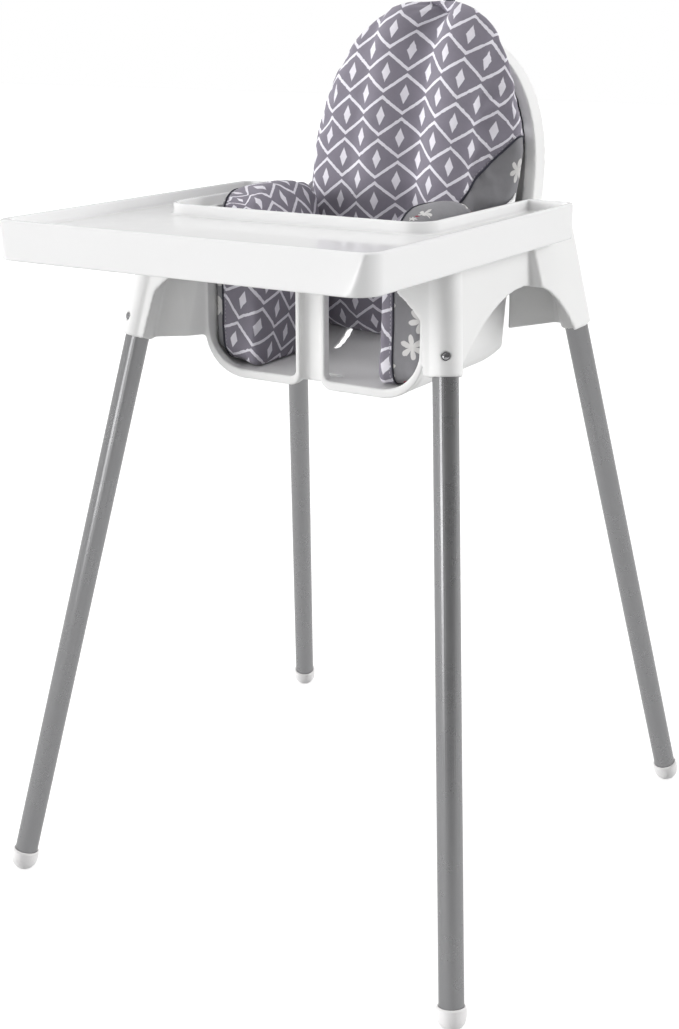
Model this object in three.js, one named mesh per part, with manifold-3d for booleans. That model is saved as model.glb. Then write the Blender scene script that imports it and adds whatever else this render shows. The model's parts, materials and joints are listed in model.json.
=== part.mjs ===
// Baby high chair: a one-piece moulded seat on four plug-in tube legs, a clip-on tray and a padded
// support cushion. Millimetres, +Z up. The origin is on the floor under the middle of the chair, the tray
// points towards -Y, and the child's left hand is towards +X.

import * as THREE from 'three';
import { mergeVertices } from 'three/addons/utils/BufferGeometryUtils.js';
import { ConvexGeometry } from 'three/addons/geometries/ConvexGeometry.js';
import Module from 'manifold-3d';

const wasm = await Module();
wasm.setup();

// ---------------------------------------------------------------------------------------------
// Driving dimensions
// ---------------------------------------------------------------------------------------------

const CLEARANCE = 0.3; // between pieces that touch or slide
const SOFT_CLEARANCE = 0.6; // between the padding and the moulding around it
const SHELL_WALL = 3.5; // wall of the moulded seat
const ROUND_STEPS = 36; // sides of a full circle
const SMALL_ROUND_STEPS = 16; // sides of a small pin's circle
const CURVE_STEPS = 12; // sides of a round corner
const ARCH_STEPS = 22; // sides of half an arch
const BEYOND = 60; // how far a cutting tool reaches past what it cuts
const OVERLAP = 1; // how far two tools reach into each other
const MERGE = 0.01; // points nearer than this become one

// Overall sizes that the feet, the tray and the heights follow
const WIDTH = 556.5; // over the feet
const DEPTH = 630; // from the tray's front to the rear feet
const SEAT_Z = 547; // top of the seat, without the cushion
const DECK_RISE = 153; // above the seat
const DECK_Z = SEAT_Z + DECK_RISE; // flat deck round the tub, which carries the tray

// Feet: ball-shaped caps pushed over the tube ends
const FOOT_RADIUS = 14.25;
const FOOT_FLAT_RADIUS = 6; // flat where the ball meets the floor
const FOOT_COLLAR_HEIGHT = 8; // straight collar above the ball's centre
const FOOT_RIM_STEP = 1.2; // the collar's rounded top edge
const FOOT_CUP_DEPTH = 4; // cup floor below the ball's centre

// Legs: straight tubes from the feet up into the sockets
const TUBE_RADIUS = 12;
const TUBE_WALL = 1.5;
const SOCKET_HALF_X = 177; // centre of a socket mouth
const SOCKET_FRONT_Y = -139;
const SOCKET_REAR_Y = 156;
const SOCKET_MOUTH_RISE = 33; // above the seat
const SOCKET_MOUTH_Z = SEAT_Z + SOCKET_MOUTH_RISE;
const INSERT_DEPTH = 78; // tube inside the socket
const FOOT_HALF_X = WIDTH / 2 - FOOT_RADIUS; // centre of a foot's ball
const FOOT_REAR_Y = DEPTH / 2 - FOOT_RADIUS;
const FOOT_FRONT_INSET = 35.75; // how much nearer the middle the front feet stand than the rear ones
const FOOT_FRONT_Y = FOOT_FRONT_INSET - FOOT_REAR_Y;

// Snap lock: a button on a U-shaped leaf spring inside each tube
const BUTTON_HEIGHT = 18.5; // above the socket mouth, along the tube
const BUTTON_TURN = 30; // degrees that the button points sideways, from straight ahead or behind
const BUTTON_RADIUS = 3.4;
const BUTTON_PLAY = 0.5; // radial play of the stem in its holes
const BUTTON_FLANGE_RADIUS = 4.6;
const BUTTON_FLANGE = 1.5;
const BUTTON_DOME = 1.1; // height of the rounded end
const BUTTON_PROUD = 0.7; // how far the dome stands out of the socket
const DIMPLE_RADIUS = 6.5; // shallow thumb dimple round the button
const DIMPLE_DEPTH = 0.9;
const SPRING_THICKNESS = 0.8;
const SPRING_WIDTH = 7;
const SPRING_FOOT = 6; // lower ends of the spring's arms, above the socket mouth
const SPRING_BEND = 47; // where the arms meet the bend

// Seat tub
const TUB_HALF_X = 123;
const TUB_FRONT_Y = -80;
const TUB_CORNER = 28; // round between the seat and the side walls
const TUB_REAR_CORNER = 44; // round between the side walls and the back, seen from above
const SEAT_TO_BACK = 86; // round between the seat and the backrest
const COAMING_RISE = 8; // above the deck
const COAMING_Z = DECK_Z + COAMING_RISE; // top of the tub's side walls
const COAMING_SWEEP = 45; // round where the side walls rise to the backrest

// Deck, skirts and sockets
const PANEL_RECESS = 3; // panels lie this far behind the socket columns
const SIDE_PANEL_X = 172; // the side panels stand upright here, and the columns lean out of them
const SHOULDER_LENGTH = 77; // proud shoulder in front of each rear column
const SHOULDER_FLARE = 0.8; // how far its rear end stands out at the deck
const SHOULDER_CORNER = 3; // round of its front end
const SIDE_ARCH_APEX_Y = 32;
const SIDE_ARCH_DROP = 64; // the arches' tops, below the deck
const FRONT_ARCH_DROP = 28;
const REAR_ARCH_DROP = 45;
const SIDE_ARCH_FRONT = 131; // half-span of the side arch towards the front
const SIDE_ARCH_REAR = 89;
const SIDE_ARCH_RISE = 58;
const SIDE_ARCH_POWER = 2.05;
const FRONT_ARCH_HALF = 151;
const FRONT_ARCH_RISE = 44;
const FRONT_ARCH_POWER = 3.6;
const FRONT_ARCH_SPLAY = 0.19; // outward run of its legs for each mm down
const GUSSET_BEND = [137, 107]; // |x| and |y| of the bend in a front gusset wall
const GUSSET_DROP = 2; // the gusset walls reach this far below the socket mouths
const REAR_GUSSET_BEND = [153, 158];
const REAR_GUSSET_TUB_Y = 101; // where a rear gusset wall meets the tub

// Leg openings in the front of the tub, each with a raised ring
const OPENING_INNER_X = 17;
const OPENING_DROP = 28; // top of the openings, below the deck
const OPENING_TOP_Z = DECK_Z - OPENING_DROP;
const OPENING_CORNER = 42; // the lower outer corner
const OPENING_SMALL_ROUND = 7;
const OPENING_TOP_ROUND = 20;
const RING_SIDE = 5.5;
const RING_BELOW = 9;
const RING_DEPTH = 7;

// Backrest
const BACK_Y = 136; // front of the backrest panel at LEAN_Z
const LEAN_RISE = 4; // above the deck
const LEAN_Z = DECK_Z + LEAN_RISE;
const LEAN = 0.143; // backwards per unit of height
const BACK_HALF_X = 136;
const BACK_STRAIGHT = 20; // straight part of the outline, above the deck
const BACK_ROUND_Z = DECK_Z + BACK_STRAIGHT; // the outline starts to close in here
const BACK_ROUND_HEIGHT = 158;
const BACK_ROUNDNESS = 2.3; // exponent of the outline's superellipse
const RIM_WIDTH = 13;
const RIM_FRONT = 12; // the rim stands this far in front of the panel
const RIM_REAR = 13; // and ends this far behind the panel's front

// Belt slots
const SLOT_WIDTH = 6;
const SLOT_LENGTH = 42;
const SIDE_SLOT_PLACE = [58.5, 68];
const SIDE_SLOT_TURN = 7; // degrees from the front-to-back direction
const CROTCH_SLOT_Y = -62;

// Tray
const TRAY_HALF_X = 200;
const TRAY_FRONT_Y = -DEPTH / 2;
const TRAY_REAR_Y = 91;
const TRAY_SKIRT = 21; // the tray's walls reach below the deck
const TRAY_RISE = 14.5; // its rim stands above the deck
const TRAY_FLOOR_RISE = 3;
const TRAY_BOTTOM_Z = DECK_Z - TRAY_SKIRT;
const TRAY_TOP_Z = DECK_Z + TRAY_RISE;
const TRAY_FLOOR_Z = DECK_Z + TRAY_FLOOR_RISE;
const TRAY_WALL = 2.8;
const TRAY_RIM = 6;
const TRAY_FRONT_ROUND = 24;
const TRAY_REAR_ROUND = 15;
const TRAY_FRONT_DRAFT = 6.5; // the front wall leans back by this much over its height
const CUTOUT_HALF_X = 145;
const CUTOUT_FRONT_Y = -123;
const CUTOUT_ROUND = 24;
const CUTOUT_LIP = 4;

// Support cushion
const WING_THICKNESS = 54;
const WING_REAR_Y = 63;
const WING_RISE = 28; // above the deck
const WING_TOP_Z = DECK_Z + WING_RISE;
const BACK_PAD_HALF_X = 126;
const BACK_PAD_THICKNESS = 74; // from the backrest panel to the pad's front
const BACK_PAD_SEAM = 19; // from the backrest panel to the seam, where the pad is widest
const BACK_PAD_LIFT = 8; // its bottom, above the seat
const BACK_PAD_STRAIGHT = 5; // straight part of its outline, above the deck
const BACK_PAD_ROUND_HEIGHT = 197;
const BACK_PAD_LOW_Z = SEAT_Z + BACK_PAD_LIFT;
const BACK_PAD_ROUND_Z = DECK_Z + BACK_PAD_STRAIGHT;
const BACK_PAD_TOP_Z = BACK_PAD_ROUND_Z + BACK_PAD_ROUND_HEIGHT;
const BACK_PAD_WING_GAP = 1.2;
const WING_SQUARENESS = 3.4; // exponents of the pads' rounded box shapes
const BACK_PAD_SQUARENESS = 2.6;
const POCKET_HALF_X = 75;
const POCKET_RISE = 70; // its lower edge, above the deck
const POCKET_LOW_Z = DECK_Z + POCKET_RISE;
const POCKET_CLOTH = 2.4;

// Looks
const WHITE_PLASTIC = { color: 0xf4f4f3, roughness: 0.35, metalness: 0 };
const TRAY_PLASTIC = { color: 0xf6f6f6, roughness: 0.2, metalness: 0 };
const SILVER_PAINT = { color: 0x9b9c9f, roughness: 0.35, metalness: 0.6 };
const FOOT_PLASTIC = { color: 0xdedede, roughness: 0.5, metalness: 0 };
const STEEL = { color: 0x8a8c90, roughness: 0.3, metalness: 1 };
const CLOTH = { color: 0x8f8b99, roughness: 0.9, metalness: 0 };

// ---------------------------------------------------------------------------------------------
// Geometry helpers
// ---------------------------------------------------------------------------------------------

// Closed triangle mesh to a solid that can be joined and cut.
function solid(geometry) {
  const plain = geometry.clone();
  plain.deleteAttribute('normal');
  plain.deleteAttribute('uv');
  const merged = mergeVertices(plain, 1e-4);
  const vertProperties = new Float32Array(merged.attributes.position.array);
  const triVerts = new Uint32Array(merged.index.array);
  return new wasm.Manifold(new wasm.Mesh({ numProp: 3, vertProperties, triVerts }));
}

function geometryOf(body) {
  const mesh = body.asOriginal().simplify(MERGE).getMesh();
  const geometry = new THREE.BufferGeometry();
  geometry.setAttribute('position', new THREE.BufferAttribute(new Float32Array(mesh.vertProperties), 3));
  geometry.setIndex(new THREE.BufferAttribute(new Uint32Array(mesh.triVerts), 1));
  geometry.computeVertexNormals();
  return geometry;
}

// Box from its low and high corners.
function box(low, high) {
  const size = high.map((value, i) => value - low[i]);
  const geometry = new THREE.BoxGeometry(...size);
  geometry.translate(low[0] + size[0] / 2, low[1] + size[1] / 2, low[2] + size[2] / 2);
  return geometry;
}

function extrude(shape, depth) {
  return new THREE.ExtrudeGeometry(shape, { depth, bevelEnabled: false, curveSegments: CURVE_STEPS });
}

// Shape drawn in (x, y), extruded upwards.
function extrudeUp(shape, lowZ, highZ) {
  return extrude(shape, highZ - lowZ).translate(0, 0, lowZ);
}

// Shape drawn in (x, z), extruded from front to back.
function extrudeBack(shape, frontY, rearY) {
  return extrude(shape, rearY - frontY).rotateX(Math.PI / 2).translate(0, rearY, 0);
}

// Shape drawn in (y, z), extruded along x.
function extrudeAcross(shape, lowX, highX) {
  const turn = new THREE.Matrix4().set(0, 0, 1, lowX, 1, 0, 0, 0, 0, 1, 0, 0, 0, 0, 0, 1);
  return extrude(shape, highX - lowX).applyMatrix4(turn);
}

// Profile of [radius, z] points turned about the z axis.
function lathe(profile, steps = ROUND_STEPS) {
  const points = profile.map(([radius, z]) => new THREE.Vector2(radius, z));
  return new THREE.LatheGeometry(points, steps).rotateX(Math.PI / 2);
}

// Rounded polygon: each corner is [x, y, radius].
function roundedShape(corners) {
  const shape = new THREE.Shape();
  const count = corners.length;
  corners.forEach(([x, y, radius], i) => {
    const corner = new THREE.Vector2(x, y);
    const before = new THREE.Vector2(...corners[(i + count - 1) % count]).sub(corner).normalize();
    const after = new THREE.Vector2(...corners[(i + 1) % count]).sub(corner).normalize();
    const cut = radius / Math.tan(Math.acos(before.dot(after)) / 2);
    const start = corner.clone().addScaledVector(before, cut);
    const end = corner.clone().addScaledVector(after, cut);
    if (i === 0) {
      shape.moveTo(start.x, start.y);
    } else {
      shape.lineTo(start.x, start.y);
    }
    if (radius > 0) {
      const middle = before.clone().add(after).normalize();
      const centre = corner.clone().addScaledVector(middle, Math.hypot(radius, cut));
      const from = start.clone().sub(centre).angle();
      const to = end.clone().sub(centre).angle();
      const clockwise = before.cross(after) > 0;
      shape.absarc(centre.x, centre.y, radius, from, to, clockwise);
    }
  });
  shape.closePath();
  return shape;
}

function rectangle(lowX, highX, lowY, highY, round = 0) {
  const corners = [[lowX, lowY, round], [highX, lowY, round], [highX, highY, round], [lowX, highY, round]];
  return roundedShape(corners);
}

// Region under an arch drawn as a power curve, down to floorZ. spans are the half-spans on both sides, and
// its legs run outwards by splay for each mm down.
function archShape(apex, spans, rise, power, floorZ, splay = 0) {
  const shape = new THREE.Shape();
  const run = splay * (apex[1] - rise - floorZ);
  shape.moveTo(apex[0] - spans[0] - run, floorZ);
  for (let i = -ARCH_STEPS; i <= ARCH_STEPS; i += 1) {
    const share = i / ARCH_STEPS;
    const across = apex[0] + share * (share < 0 ? spans[0] : spans[1]);
    shape.lineTo(across, apex[1] - rise * Math.abs(share) ** power);
  }
  shape.lineTo(apex[0] + spans[1] + run, floorZ);
  shape.closePath();
  return shape;
}

// Leans a body back with the backrest: heights keep their z, and y grows with height.
const LEAN_MATRIX = new THREE.Matrix4().set(1, 0, 0, 0, 0, 1, LEAN, -LEAN * LEAN_Z, 0, 0, 1, 0, 0, 0, 0, 1);

// Rounded box: a superellipsoid that fills the box between two corners.
function pad(low, high, squareness) {
  const geometry = new THREE.SphereGeometry(1, 24, 16).rotateX(Math.PI / 2);
  const position = geometry.attributes.position;
  const point = new THREE.Vector3();
  for (let i = 0; i < position.count; i += 1) {
    point.fromBufferAttribute(position, i);
    const sum = point.toArray().reduce((total, part) => total + Math.abs(part) ** squareness, 0);
    point.multiplyScalar(sum ** (-1 / squareness));
    position.setXYZ(i, point.x, point.y, point.z);
  }
  const half = high.map((value, i) => (value - low[i]) / 2);
  return geometry.scale(...half).translate(low[0] + half[0], low[1] + half[1], low[2] + half[2]);
}

// Flat wall between two plan points at each of two heights.
function gussetWall(lowA, lowB, highA, highB, thickness) {
  const across = new THREE.Vector3(lowB[1] - lowA[1], lowA[0] - lowB[0], 0).setLength(thickness / 2);
  const points = [];
  for (const [x, y, z] of [lowA, lowB, highA, highB]) {
    points.push(new THREE.Vector3(x, y, z).add(across));
    points.push(new THREE.Vector3(x, y, z).sub(across));
  }
  return new ConvexGeometry(points);
}

function union(parts) {
  return parts.reduce((total, part) => total.add(part));
}

// ---------------------------------------------------------------------------------------------
// Legs: their frames stand at the socket mouth with z up the tube and x towards the lock button
// ---------------------------------------------------------------------------------------------

const FOOT_BALL_Z = Math.sqrt(FOOT_RADIUS ** 2 - FOOT_FLAT_RADIUS ** 2);
const ENDS = {
  front: { out: -1, socketY: SOCKET_FRONT_Y, footY: FOOT_FRONT_Y },
  rear: { out: 1, socketY: SOCKET_REAR_Y, footY: FOOT_REAR_Y },
};
const SIDES = { left: 1, right: -1 };

function legFrame(side, end) {
  const mouth = new THREE.Vector3(side * SOCKET_HALF_X, end.socketY, SOCKET_MOUTH_Z);
  const ball = new THREE.Vector3(side * FOOT_HALF_X, end.footY, FOOT_BALL_Z);
  const up = mouth.clone().sub(ball).normalize();
  const turn = THREE.MathUtils.degToRad(BUTTON_TURN);
  const buttonWay = new THREE.Vector3(side * Math.sin(turn), end.out * Math.cos(turn), 0);
  buttonWay.addScaledVector(up, -buttonWay.dot(up)).normalize();
  const across = new THREE.Vector3().crossVectors(up, buttonWay);
  const matrix = new THREE.Matrix4().makeBasis(buttonWay, across, up).setPosition(mouth);
  return { matrix, up, mouth, length: mouth.distanceTo(ball) };
}

const LEGS = [];
for (const [endName, end] of Object.entries(ENDS)) {
  for (const [sideName, side] of Object.entries(SIDES)) {
    LEGS.push({ name: `${endName}_${sideName}`, side, end, ...legFrame(side, end) });
  }
}

const TUBE_INNER = TUBE_RADIUS - TUBE_WALL;
const SOCKET_RADIUS = TUBE_RADIUS + CLEARANCE;
const COLUMN_RADIUS = SOCKET_RADIUS + SHELL_WALL;
const BUTTON_HOLE = BUTTON_RADIUS + BUTTON_PLAY;

// Round bar along a leg frame's button direction.
function buttonBar(radius, fromX, toX) {
  const profile = [[0, fromX], [radius, fromX], [radius, toX], [0, toX]];
  return lathe(profile, SMALL_ROUND_STEPS).rotateY(Math.PI / 2).translate(0, 0, BUTTON_HEIGHT);
}

function legTube(leg) {
  const low = -leg.length - FOOT_CUP_DEPTH + CLEARANCE;
  const ring = [
    [TUBE_INNER, low], [TUBE_RADIUS, low], [TUBE_RADIUS, INSERT_DEPTH], [TUBE_INNER, INSERT_DEPTH],
    [TUBE_INNER, low],
  ];
  const hole = buttonBar(BUTTON_HOLE, TUBE_INNER / 2, TUBE_RADIUS + SHELL_WALL);
  return geometryOf(solid(lathe(ring)).subtract(solid(hole)));
}

// The foot is made in the chair's frame, because the floor cuts its flat.
function foot(leg) {
  const ball = -leg.length;
  const top = ball + FOOT_COLLAR_HEIGHT + FOOT_RIM_STEP;
  const profile = [];
  const steps = 6;
  for (let i = 0; i <= steps; i += 1) {
    const angle = (i / steps - 1) * (Math.PI / 2);
    profile.push([Math.max(0, FOOT_RADIUS * Math.cos(angle)), ball + FOOT_RADIUS * Math.sin(angle)]);
  }
  profile[0][0] = 0;
  profile.push([FOOT_RADIUS, ball + FOOT_COLLAR_HEIGHT]);
  profile.push([FOOT_RADIUS - FOOT_RIM_STEP, top]);
  profile.push([SOCKET_RADIUS, top]);
  profile.push([SOCKET_RADIUS, ball - FOOT_CUP_DEPTH]);
  profile.push([0, ball - FOOT_CUP_DEPTH]);
  const body = solid(lathe(profile).applyMatrix4(leg.matrix));
  const reach = FOOT_HALF_X + BEYOND + Math.abs(leg.end.footY);
  const floor = solid(box([-reach, -reach, -BEYOND], [reach, reach, 0]));
  return geometryOf(body.subtract(floor));
}

const FLANGE_TOP = Math.sqrt(TUBE_INNER ** 2 - BUTTON_FLANGE_RADIUS ** 2) - CLEARANCE;
const FLANGE_BOTTOM = FLANGE_TOP - BUTTON_FLANGE;
const BUTTON_TIP = COLUMN_RADIUS + BUTTON_PROUD;

function lockButton() {
  const domeStart = BUTTON_TIP - BUTTON_DOME;
  const profile = [
    [0, FLANGE_BOTTOM], [BUTTON_FLANGE_RADIUS, FLANGE_BOTTOM], [BUTTON_FLANGE_RADIUS, FLANGE_TOP],
    [BUTTON_RADIUS, FLANGE_TOP], [BUTTON_RADIUS, domeStart],
  ];
  const steps = 4;
  for (let i = 1; i < steps; i += 1) {
    const angle = (i / steps) * (Math.PI / 2);
    profile.push([BUTTON_RADIUS * Math.cos(angle), domeStart + BUTTON_DOME * Math.sin(angle)]);
  }
  profile.push([0, BUTTON_TIP]);
  return lathe(profile, SMALL_ROUND_STEPS).rotateY(Math.PI / 2).translate(0, 0, BUTTON_HEIGHT);
}

function lockSpring() {
  const half = SPRING_THICKNESS / 2;
  const buttonArm = FLANGE_BOTTOM - CLEARANCE - half;
  const wallArm = half + CLEARANCE - Math.sqrt(TUBE_INNER ** 2 - (SPRING_WIDTH / 2) ** 2);
  const centre = (buttonArm + wallArm) / 2;
  const bend = (buttonArm - wallArm) / 2;
  const shape = new THREE.Shape();
  shape.moveTo(wallArm - half, SPRING_FOOT);
  shape.lineTo(wallArm - half, SPRING_BEND);
  shape.absarc(centre, SPRING_BEND, bend + half, Math.PI, 0, true);
  shape.lineTo(buttonArm + half, SPRING_FOOT);
  shape.lineTo(buttonArm - half, SPRING_FOOT);
  shape.lineTo(buttonArm - half, SPRING_BEND);
  shape.absarc(centre, SPRING_BEND, bend - half, 0, Math.PI, false);
  shape.lineTo(wallArm + half, SPRING_FOOT);
  shape.closePath();
  return extrudeBack(shape, -SPRING_WIDTH / 2, SPRING_WIDTH / 2);
}

// ---------------------------------------------------------------------------------------------
// Seat
// ---------------------------------------------------------------------------------------------

const LEAN_ANGLE = Math.atan(LEAN);
const SWEEP_TOP_Z = COAMING_Z + COAMING_SWEEP; // the side walls end here, against the backrest
const SKY_Z = BACK_PAD_TOP_Z + BEYOND;
const FAR_FRONT_Y = TRAY_FRONT_Y - BEYOND;

// Outline drawn in (x, z): straight sides up to roundZ, closed above it by half a superellipse.
function domedOutline(halfX, lowZ, roundZ, height, roundness) {
  const steps = ARCH_STEPS * 2;
  const shape = new THREE.Shape();
  shape.moveTo(halfX, lowZ);
  for (let i = 0; i <= steps; i += 1) {
    const angle = (i / steps) * Math.PI;
    const x = halfX * Math.sign(Math.cos(angle)) * Math.abs(Math.cos(angle)) ** (2 / roundness);
    const z = roundZ + height * Math.abs(Math.sin(angle)) ** (2 / roundness);
    shape.lineTo(x, z);
  }
  shape.lineTo(-halfX, lowZ);
  shape.closePath();
  return shape;
}

// Extrudes an outline from front to back and leans it; front and rear count from the backrest panel.
function leanSlab(outline, front, rear) {
  return solid(extrudeBack(outline, BACK_Y + front, BACK_Y + rear).applyMatrix4(LEAN_MATRIX));
}

// Slab with the backrest's outline, moved inwards by inset.
function backSlab(inset, lowZ, front, rear) {
  const halfX = BACK_HALF_X - inset;
  const height = BACK_ROUND_HEIGHT - inset;
  return leanSlab(domedOutline(halfX, lowZ, BACK_ROUND_Z, height, BACK_ROUNDNESS), front, rear);
}

// Space inside the tub, grown outwards by offset and open at the top. It is the part shared by the
// front view, the side view and the leaning plan view.
function tubSpace(offset, topZ) {
  const halfX = TUB_HALF_X + offset;
  const low = SEAT_Z - offset;
  const frontY = TUB_FRONT_Y - offset;
  const round = TUB_CORNER + offset;
  const frontView = roundedShape([
    [-halfX, low, round], [halfX, low, round],
    [halfX, topZ, 0], [-halfX, topZ, 0],
  ]);
  const rearY = BACK_Y + offset / Math.cos(LEAN_ANGLE);
  const planCorner = TUB_REAR_CORNER + offset;
  const plan = roundedShape([
    [-halfX, frontY - BEYOND, 0], [halfX, frontY - BEYOND, 0],
    [halfX, rearY, planCorner], [-halfX, rearY, planCorner],
  ]);
  const arcZ = SEAT_Z + SEAT_TO_BACK;
  const arcY = BACK_Y + LEAN * (arcZ - LEAN_Z) - SEAT_TO_BACK / Math.cos(LEAN_ANGLE);
  const sideView = new THREE.Shape();
  sideView.moveTo(frontY, topZ);
  sideView.lineTo(frontY, low);
  sideView.lineTo(arcY, low);
  sideView.absarc(arcY, arcZ, SEAT_TO_BACK + offset, -Math.PI / 2, -LEAN_ANGLE, false);
  sideView.lineTo(rearY + LEAN * (topZ - LEAN_Z), topZ);
  sideView.closePath();
  const fromFront = solid(extrudeBack(frontView, frontY - BEYOND, BACK_Y + BEYOND));
  const fromSide = solid(extrudeAcross(sideView, -halfX - BEYOND, halfX + BEYOND));
  const fromAbove = solid(extrudeUp(plan, low - BEYOND, topZ + BEYOND).applyMatrix4(LEAN_MATRIX));
  return fromFront.intersect(fromSide).intersect(fromAbove);
}

// Ring of points round a leg's axis, used as a corner of the skirts.
function columnRing(leg, radius, height, shiftX = 0, shiftY = 0) {
  const points = [];
  for (let i = 0; i < ROUND_STEPS; i += 1) {
    const angle = (i / ROUND_STEPS) * Math.PI * 2;
    const point = new THREE.Vector3(radius * Math.cos(angle), radius * Math.sin(angle), height);
    point.applyMatrix4(leg.matrix);
    points.push(point.add(new THREE.Vector3(shiftX, shiftY, 0)));
  }
  return points;
}

// Height along a leg's axis at which it is well past the deck.
function pastDeck(leg) {
  return (DECK_Z - SOCKET_MOUTH_Z) / leg.up.z + TUBE_RADIUS;
}

// Everything above a height.
function above(z) {
  const reach = FOOT_HALF_X + TRAY_HALF_X;
  return solid(box([-reach, -reach, z], [reach, reach, SKY_Z + BEYOND]));
}

// Everything between the two upright side planes.
function between(halfX) {
  const reach = FOOT_HALF_X + TRAY_HALF_X;
  return solid(box([-halfX, -reach, 0], [halfX, reach, SKY_Z]));
}

// Closed block inside the four skirts, with its walls moved inwards by inset and its top at topZ.
// The proud shoulders in front of the rear columns are part of it.
function skirtBlock(inset, topZ) {
  const panelRadius = COLUMN_RADIUS - PANEL_RECESS - inset;
  const start = inset > 0 ? -BEYOND / 2 : 0;
  const corners = LEGS.flatMap((leg) => [
    ...columnRing(leg, panelRadius, start),
    ...columnRing(leg, panelRadius, pastDeck(leg)),
  ]);
  const blocks = [solid(new ConvexGeometry(corners)).intersect(between(SIDE_PANEL_X - inset))];
  for (const leg of LEGS.filter(({ end }) => end === ENDS.rear)) {
    const radius = COLUMN_RADIUS - inset;
    const corner = Math.max(SHOULDER_CORNER - inset, CLEARANCE);
    const reach = radius - corner;
    const points = columnRing(leg, radius, start);
    points.push(...columnRing(leg, radius, pastDeck(leg), leg.side * SHOULDER_FLARE));
    for (const across of [-reach, reach]) {
      points.push(...columnRing(leg, corner, start, across, -SHOULDER_LENGTH - reach));
      points.push(...columnRing(leg, corner, pastDeck(leg), across, -SHOULDER_LENGTH - reach));
    }
    blocks.push(solid(new ConvexGeometry(points)));
  }
  return union(blocks).subtract(above(topZ));
}

// Thin skirts and the deck that closes them, with the arches cut.
function skirts() {
  const shell = skirtBlock(0, DECK_Z).subtract(skirtBlock(SHELL_WALL, DECK_Z - SHELL_WALL));
  const low = SOCKET_MOUTH_Z - BEYOND;
  const spans = [SIDE_ARCH_FRONT, SIDE_ARCH_REAR];
  const sideApex = [SIDE_ARCH_APEX_Y, DECK_Z - SIDE_ARCH_DROP];
  const sideArch = archShape(sideApex, spans, SIDE_ARCH_RISE, SIDE_ARCH_POWER, low);
  const half = [FRONT_ARCH_HALF, FRONT_ARCH_HALF];
  const frontApex = [0, DECK_Z - FRONT_ARCH_DROP];
  const frontArch = archShape(frontApex, half, FRONT_ARCH_RISE, FRONT_ARCH_POWER, low, FRONT_ARCH_SPLAY);
  const rearApex = [0, DECK_Z - REAR_ARCH_DROP];
  const rearArch = archShape(rearApex, half, FRONT_ARCH_RISE, FRONT_ARCH_POWER, low, FRONT_ARCH_SPLAY);
  const farX = SOCKET_HALF_X + BEYOND;
  return shell
    .subtract(solid(extrudeAcross(sideArch, -farX, farX)))
    .subtract(solid(extrudeBack(frontArch, SOCKET_FRONT_Y - BEYOND, 0)))
    .subtract(solid(extrudeBack(rearArch, 0, SOCKET_REAR_Y + BEYOND)));
}

function column(leg) {
  const bar = lathe([[0, 0], [COLUMN_RADIUS, 0], [COLUMN_RADIUS, pastDeck(leg)], [0, pastDeck(leg)]]);
  return solid(bar.applyMatrix4(leg.matrix)).subtract(above(DECK_Z));
}

// Two flat walls that tie a column to the tub.
function gussets(leg) {
  const low = SOCKET_MOUTH_Z - GUSSET_DROP;
  const high = DECK_Z - SHELL_WALL / 2;
  const rise = (high - SOCKET_MOUTH_Z) / leg.up.z;
  const top = leg.mouth.clone().addScaledVector(leg.up, rise);
  const front = leg.end === ENDS.front;
  const [bendX, bendY] = front ? GUSSET_BEND : REAR_GUSSET_BEND;
  const tubX = TUB_HALF_X + SHELL_WALL / 2;
  const tubY = front ? SHELL_WALL + RING_DEPTH / 2 - TUB_FRONT_Y : REAR_GUSSET_TUB_Y;
  const bend = [leg.side * bendX, leg.end.out * bendY];
  const tub = [leg.side * tubX, leg.end.out * tubY];
  const bendHigh = [(bend[0] + top.x) / 2, (bend[1] + top.y) / 2];
  const columnLow = [leg.mouth.x, leg.mouth.y, low];
  const columnHigh = [top.x, top.y, high];
  return [
    gussetWall(columnLow, [...bend, low], columnHigh, [...bendHigh, high], SHELL_WALL),
    gussetWall([...bend, low], [...tub, low], [...bendHigh, high], [...tub, high], SHELL_WALL),
  ].map(solid);
}

// Outline of a leg opening, drawn in (x, z); grown outwards for its ring.
function openingShape(side, growSide, growBelow) {
  const inner = side * (OPENING_INNER_X - growSide);
  const outer = side * (TUB_HALF_X + growSide);
  const low = SEAT_Z - growBelow;
  const high = OPENING_TOP_Z + growBelow;
  return roundedShape([
    [inner, low, OPENING_SMALL_ROUND + growSide], [outer, low, OPENING_CORNER + growSide],
    [outer, high, OPENING_TOP_ROUND + growSide], [inner, high, OPENING_SMALL_ROUND + growSide],
  ]);
}

// Backrest: a panel inside a hollow rim that is open at the back.
function backrest() {
  const low = DECK_Z - SHELL_WALL;
  const body = backSlab(0, low, -RIM_FRONT, RIM_REAR);
  const inside = backSlab(SHELL_WALL, DECK_Z, SHELL_WALL - RIM_FRONT, RIM_REAR + BEYOND);
  const panel = backSlab(RIM_WIDTH - SHELL_WALL, low, -RIM_FRONT - BEYOND, SHELL_WALL);
  return body.subtract(inside.subtract(panel));
}

// Side walls of the tub above the deck, rising in a sweep to the backrest rim.
function coamingTrim() {
  const rimY = BACK_Y - RIM_FRONT + LEAN * (COAMING_Z - LEAN_Z);
  const shape = new THREE.Shape();
  shape.moveTo(TUB_FRONT_Y - BEYOND, COAMING_Z);
  shape.lineTo(rimY - COAMING_SWEEP, COAMING_Z);
  shape.absarc(rimY - COAMING_SWEEP, SWEEP_TOP_Z, COAMING_SWEEP, -Math.PI / 2, 0, false);
  shape.lineTo(rimY, SWEEP_TOP_Z + OVERLAP);
  shape.lineTo(TUB_FRONT_Y - BEYOND, SWEEP_TOP_Z + OVERLAP);
  shape.closePath();
  return solid(extrudeAcross(shape, -TRAY_HALF_X, TRAY_HALF_X));
}

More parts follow.
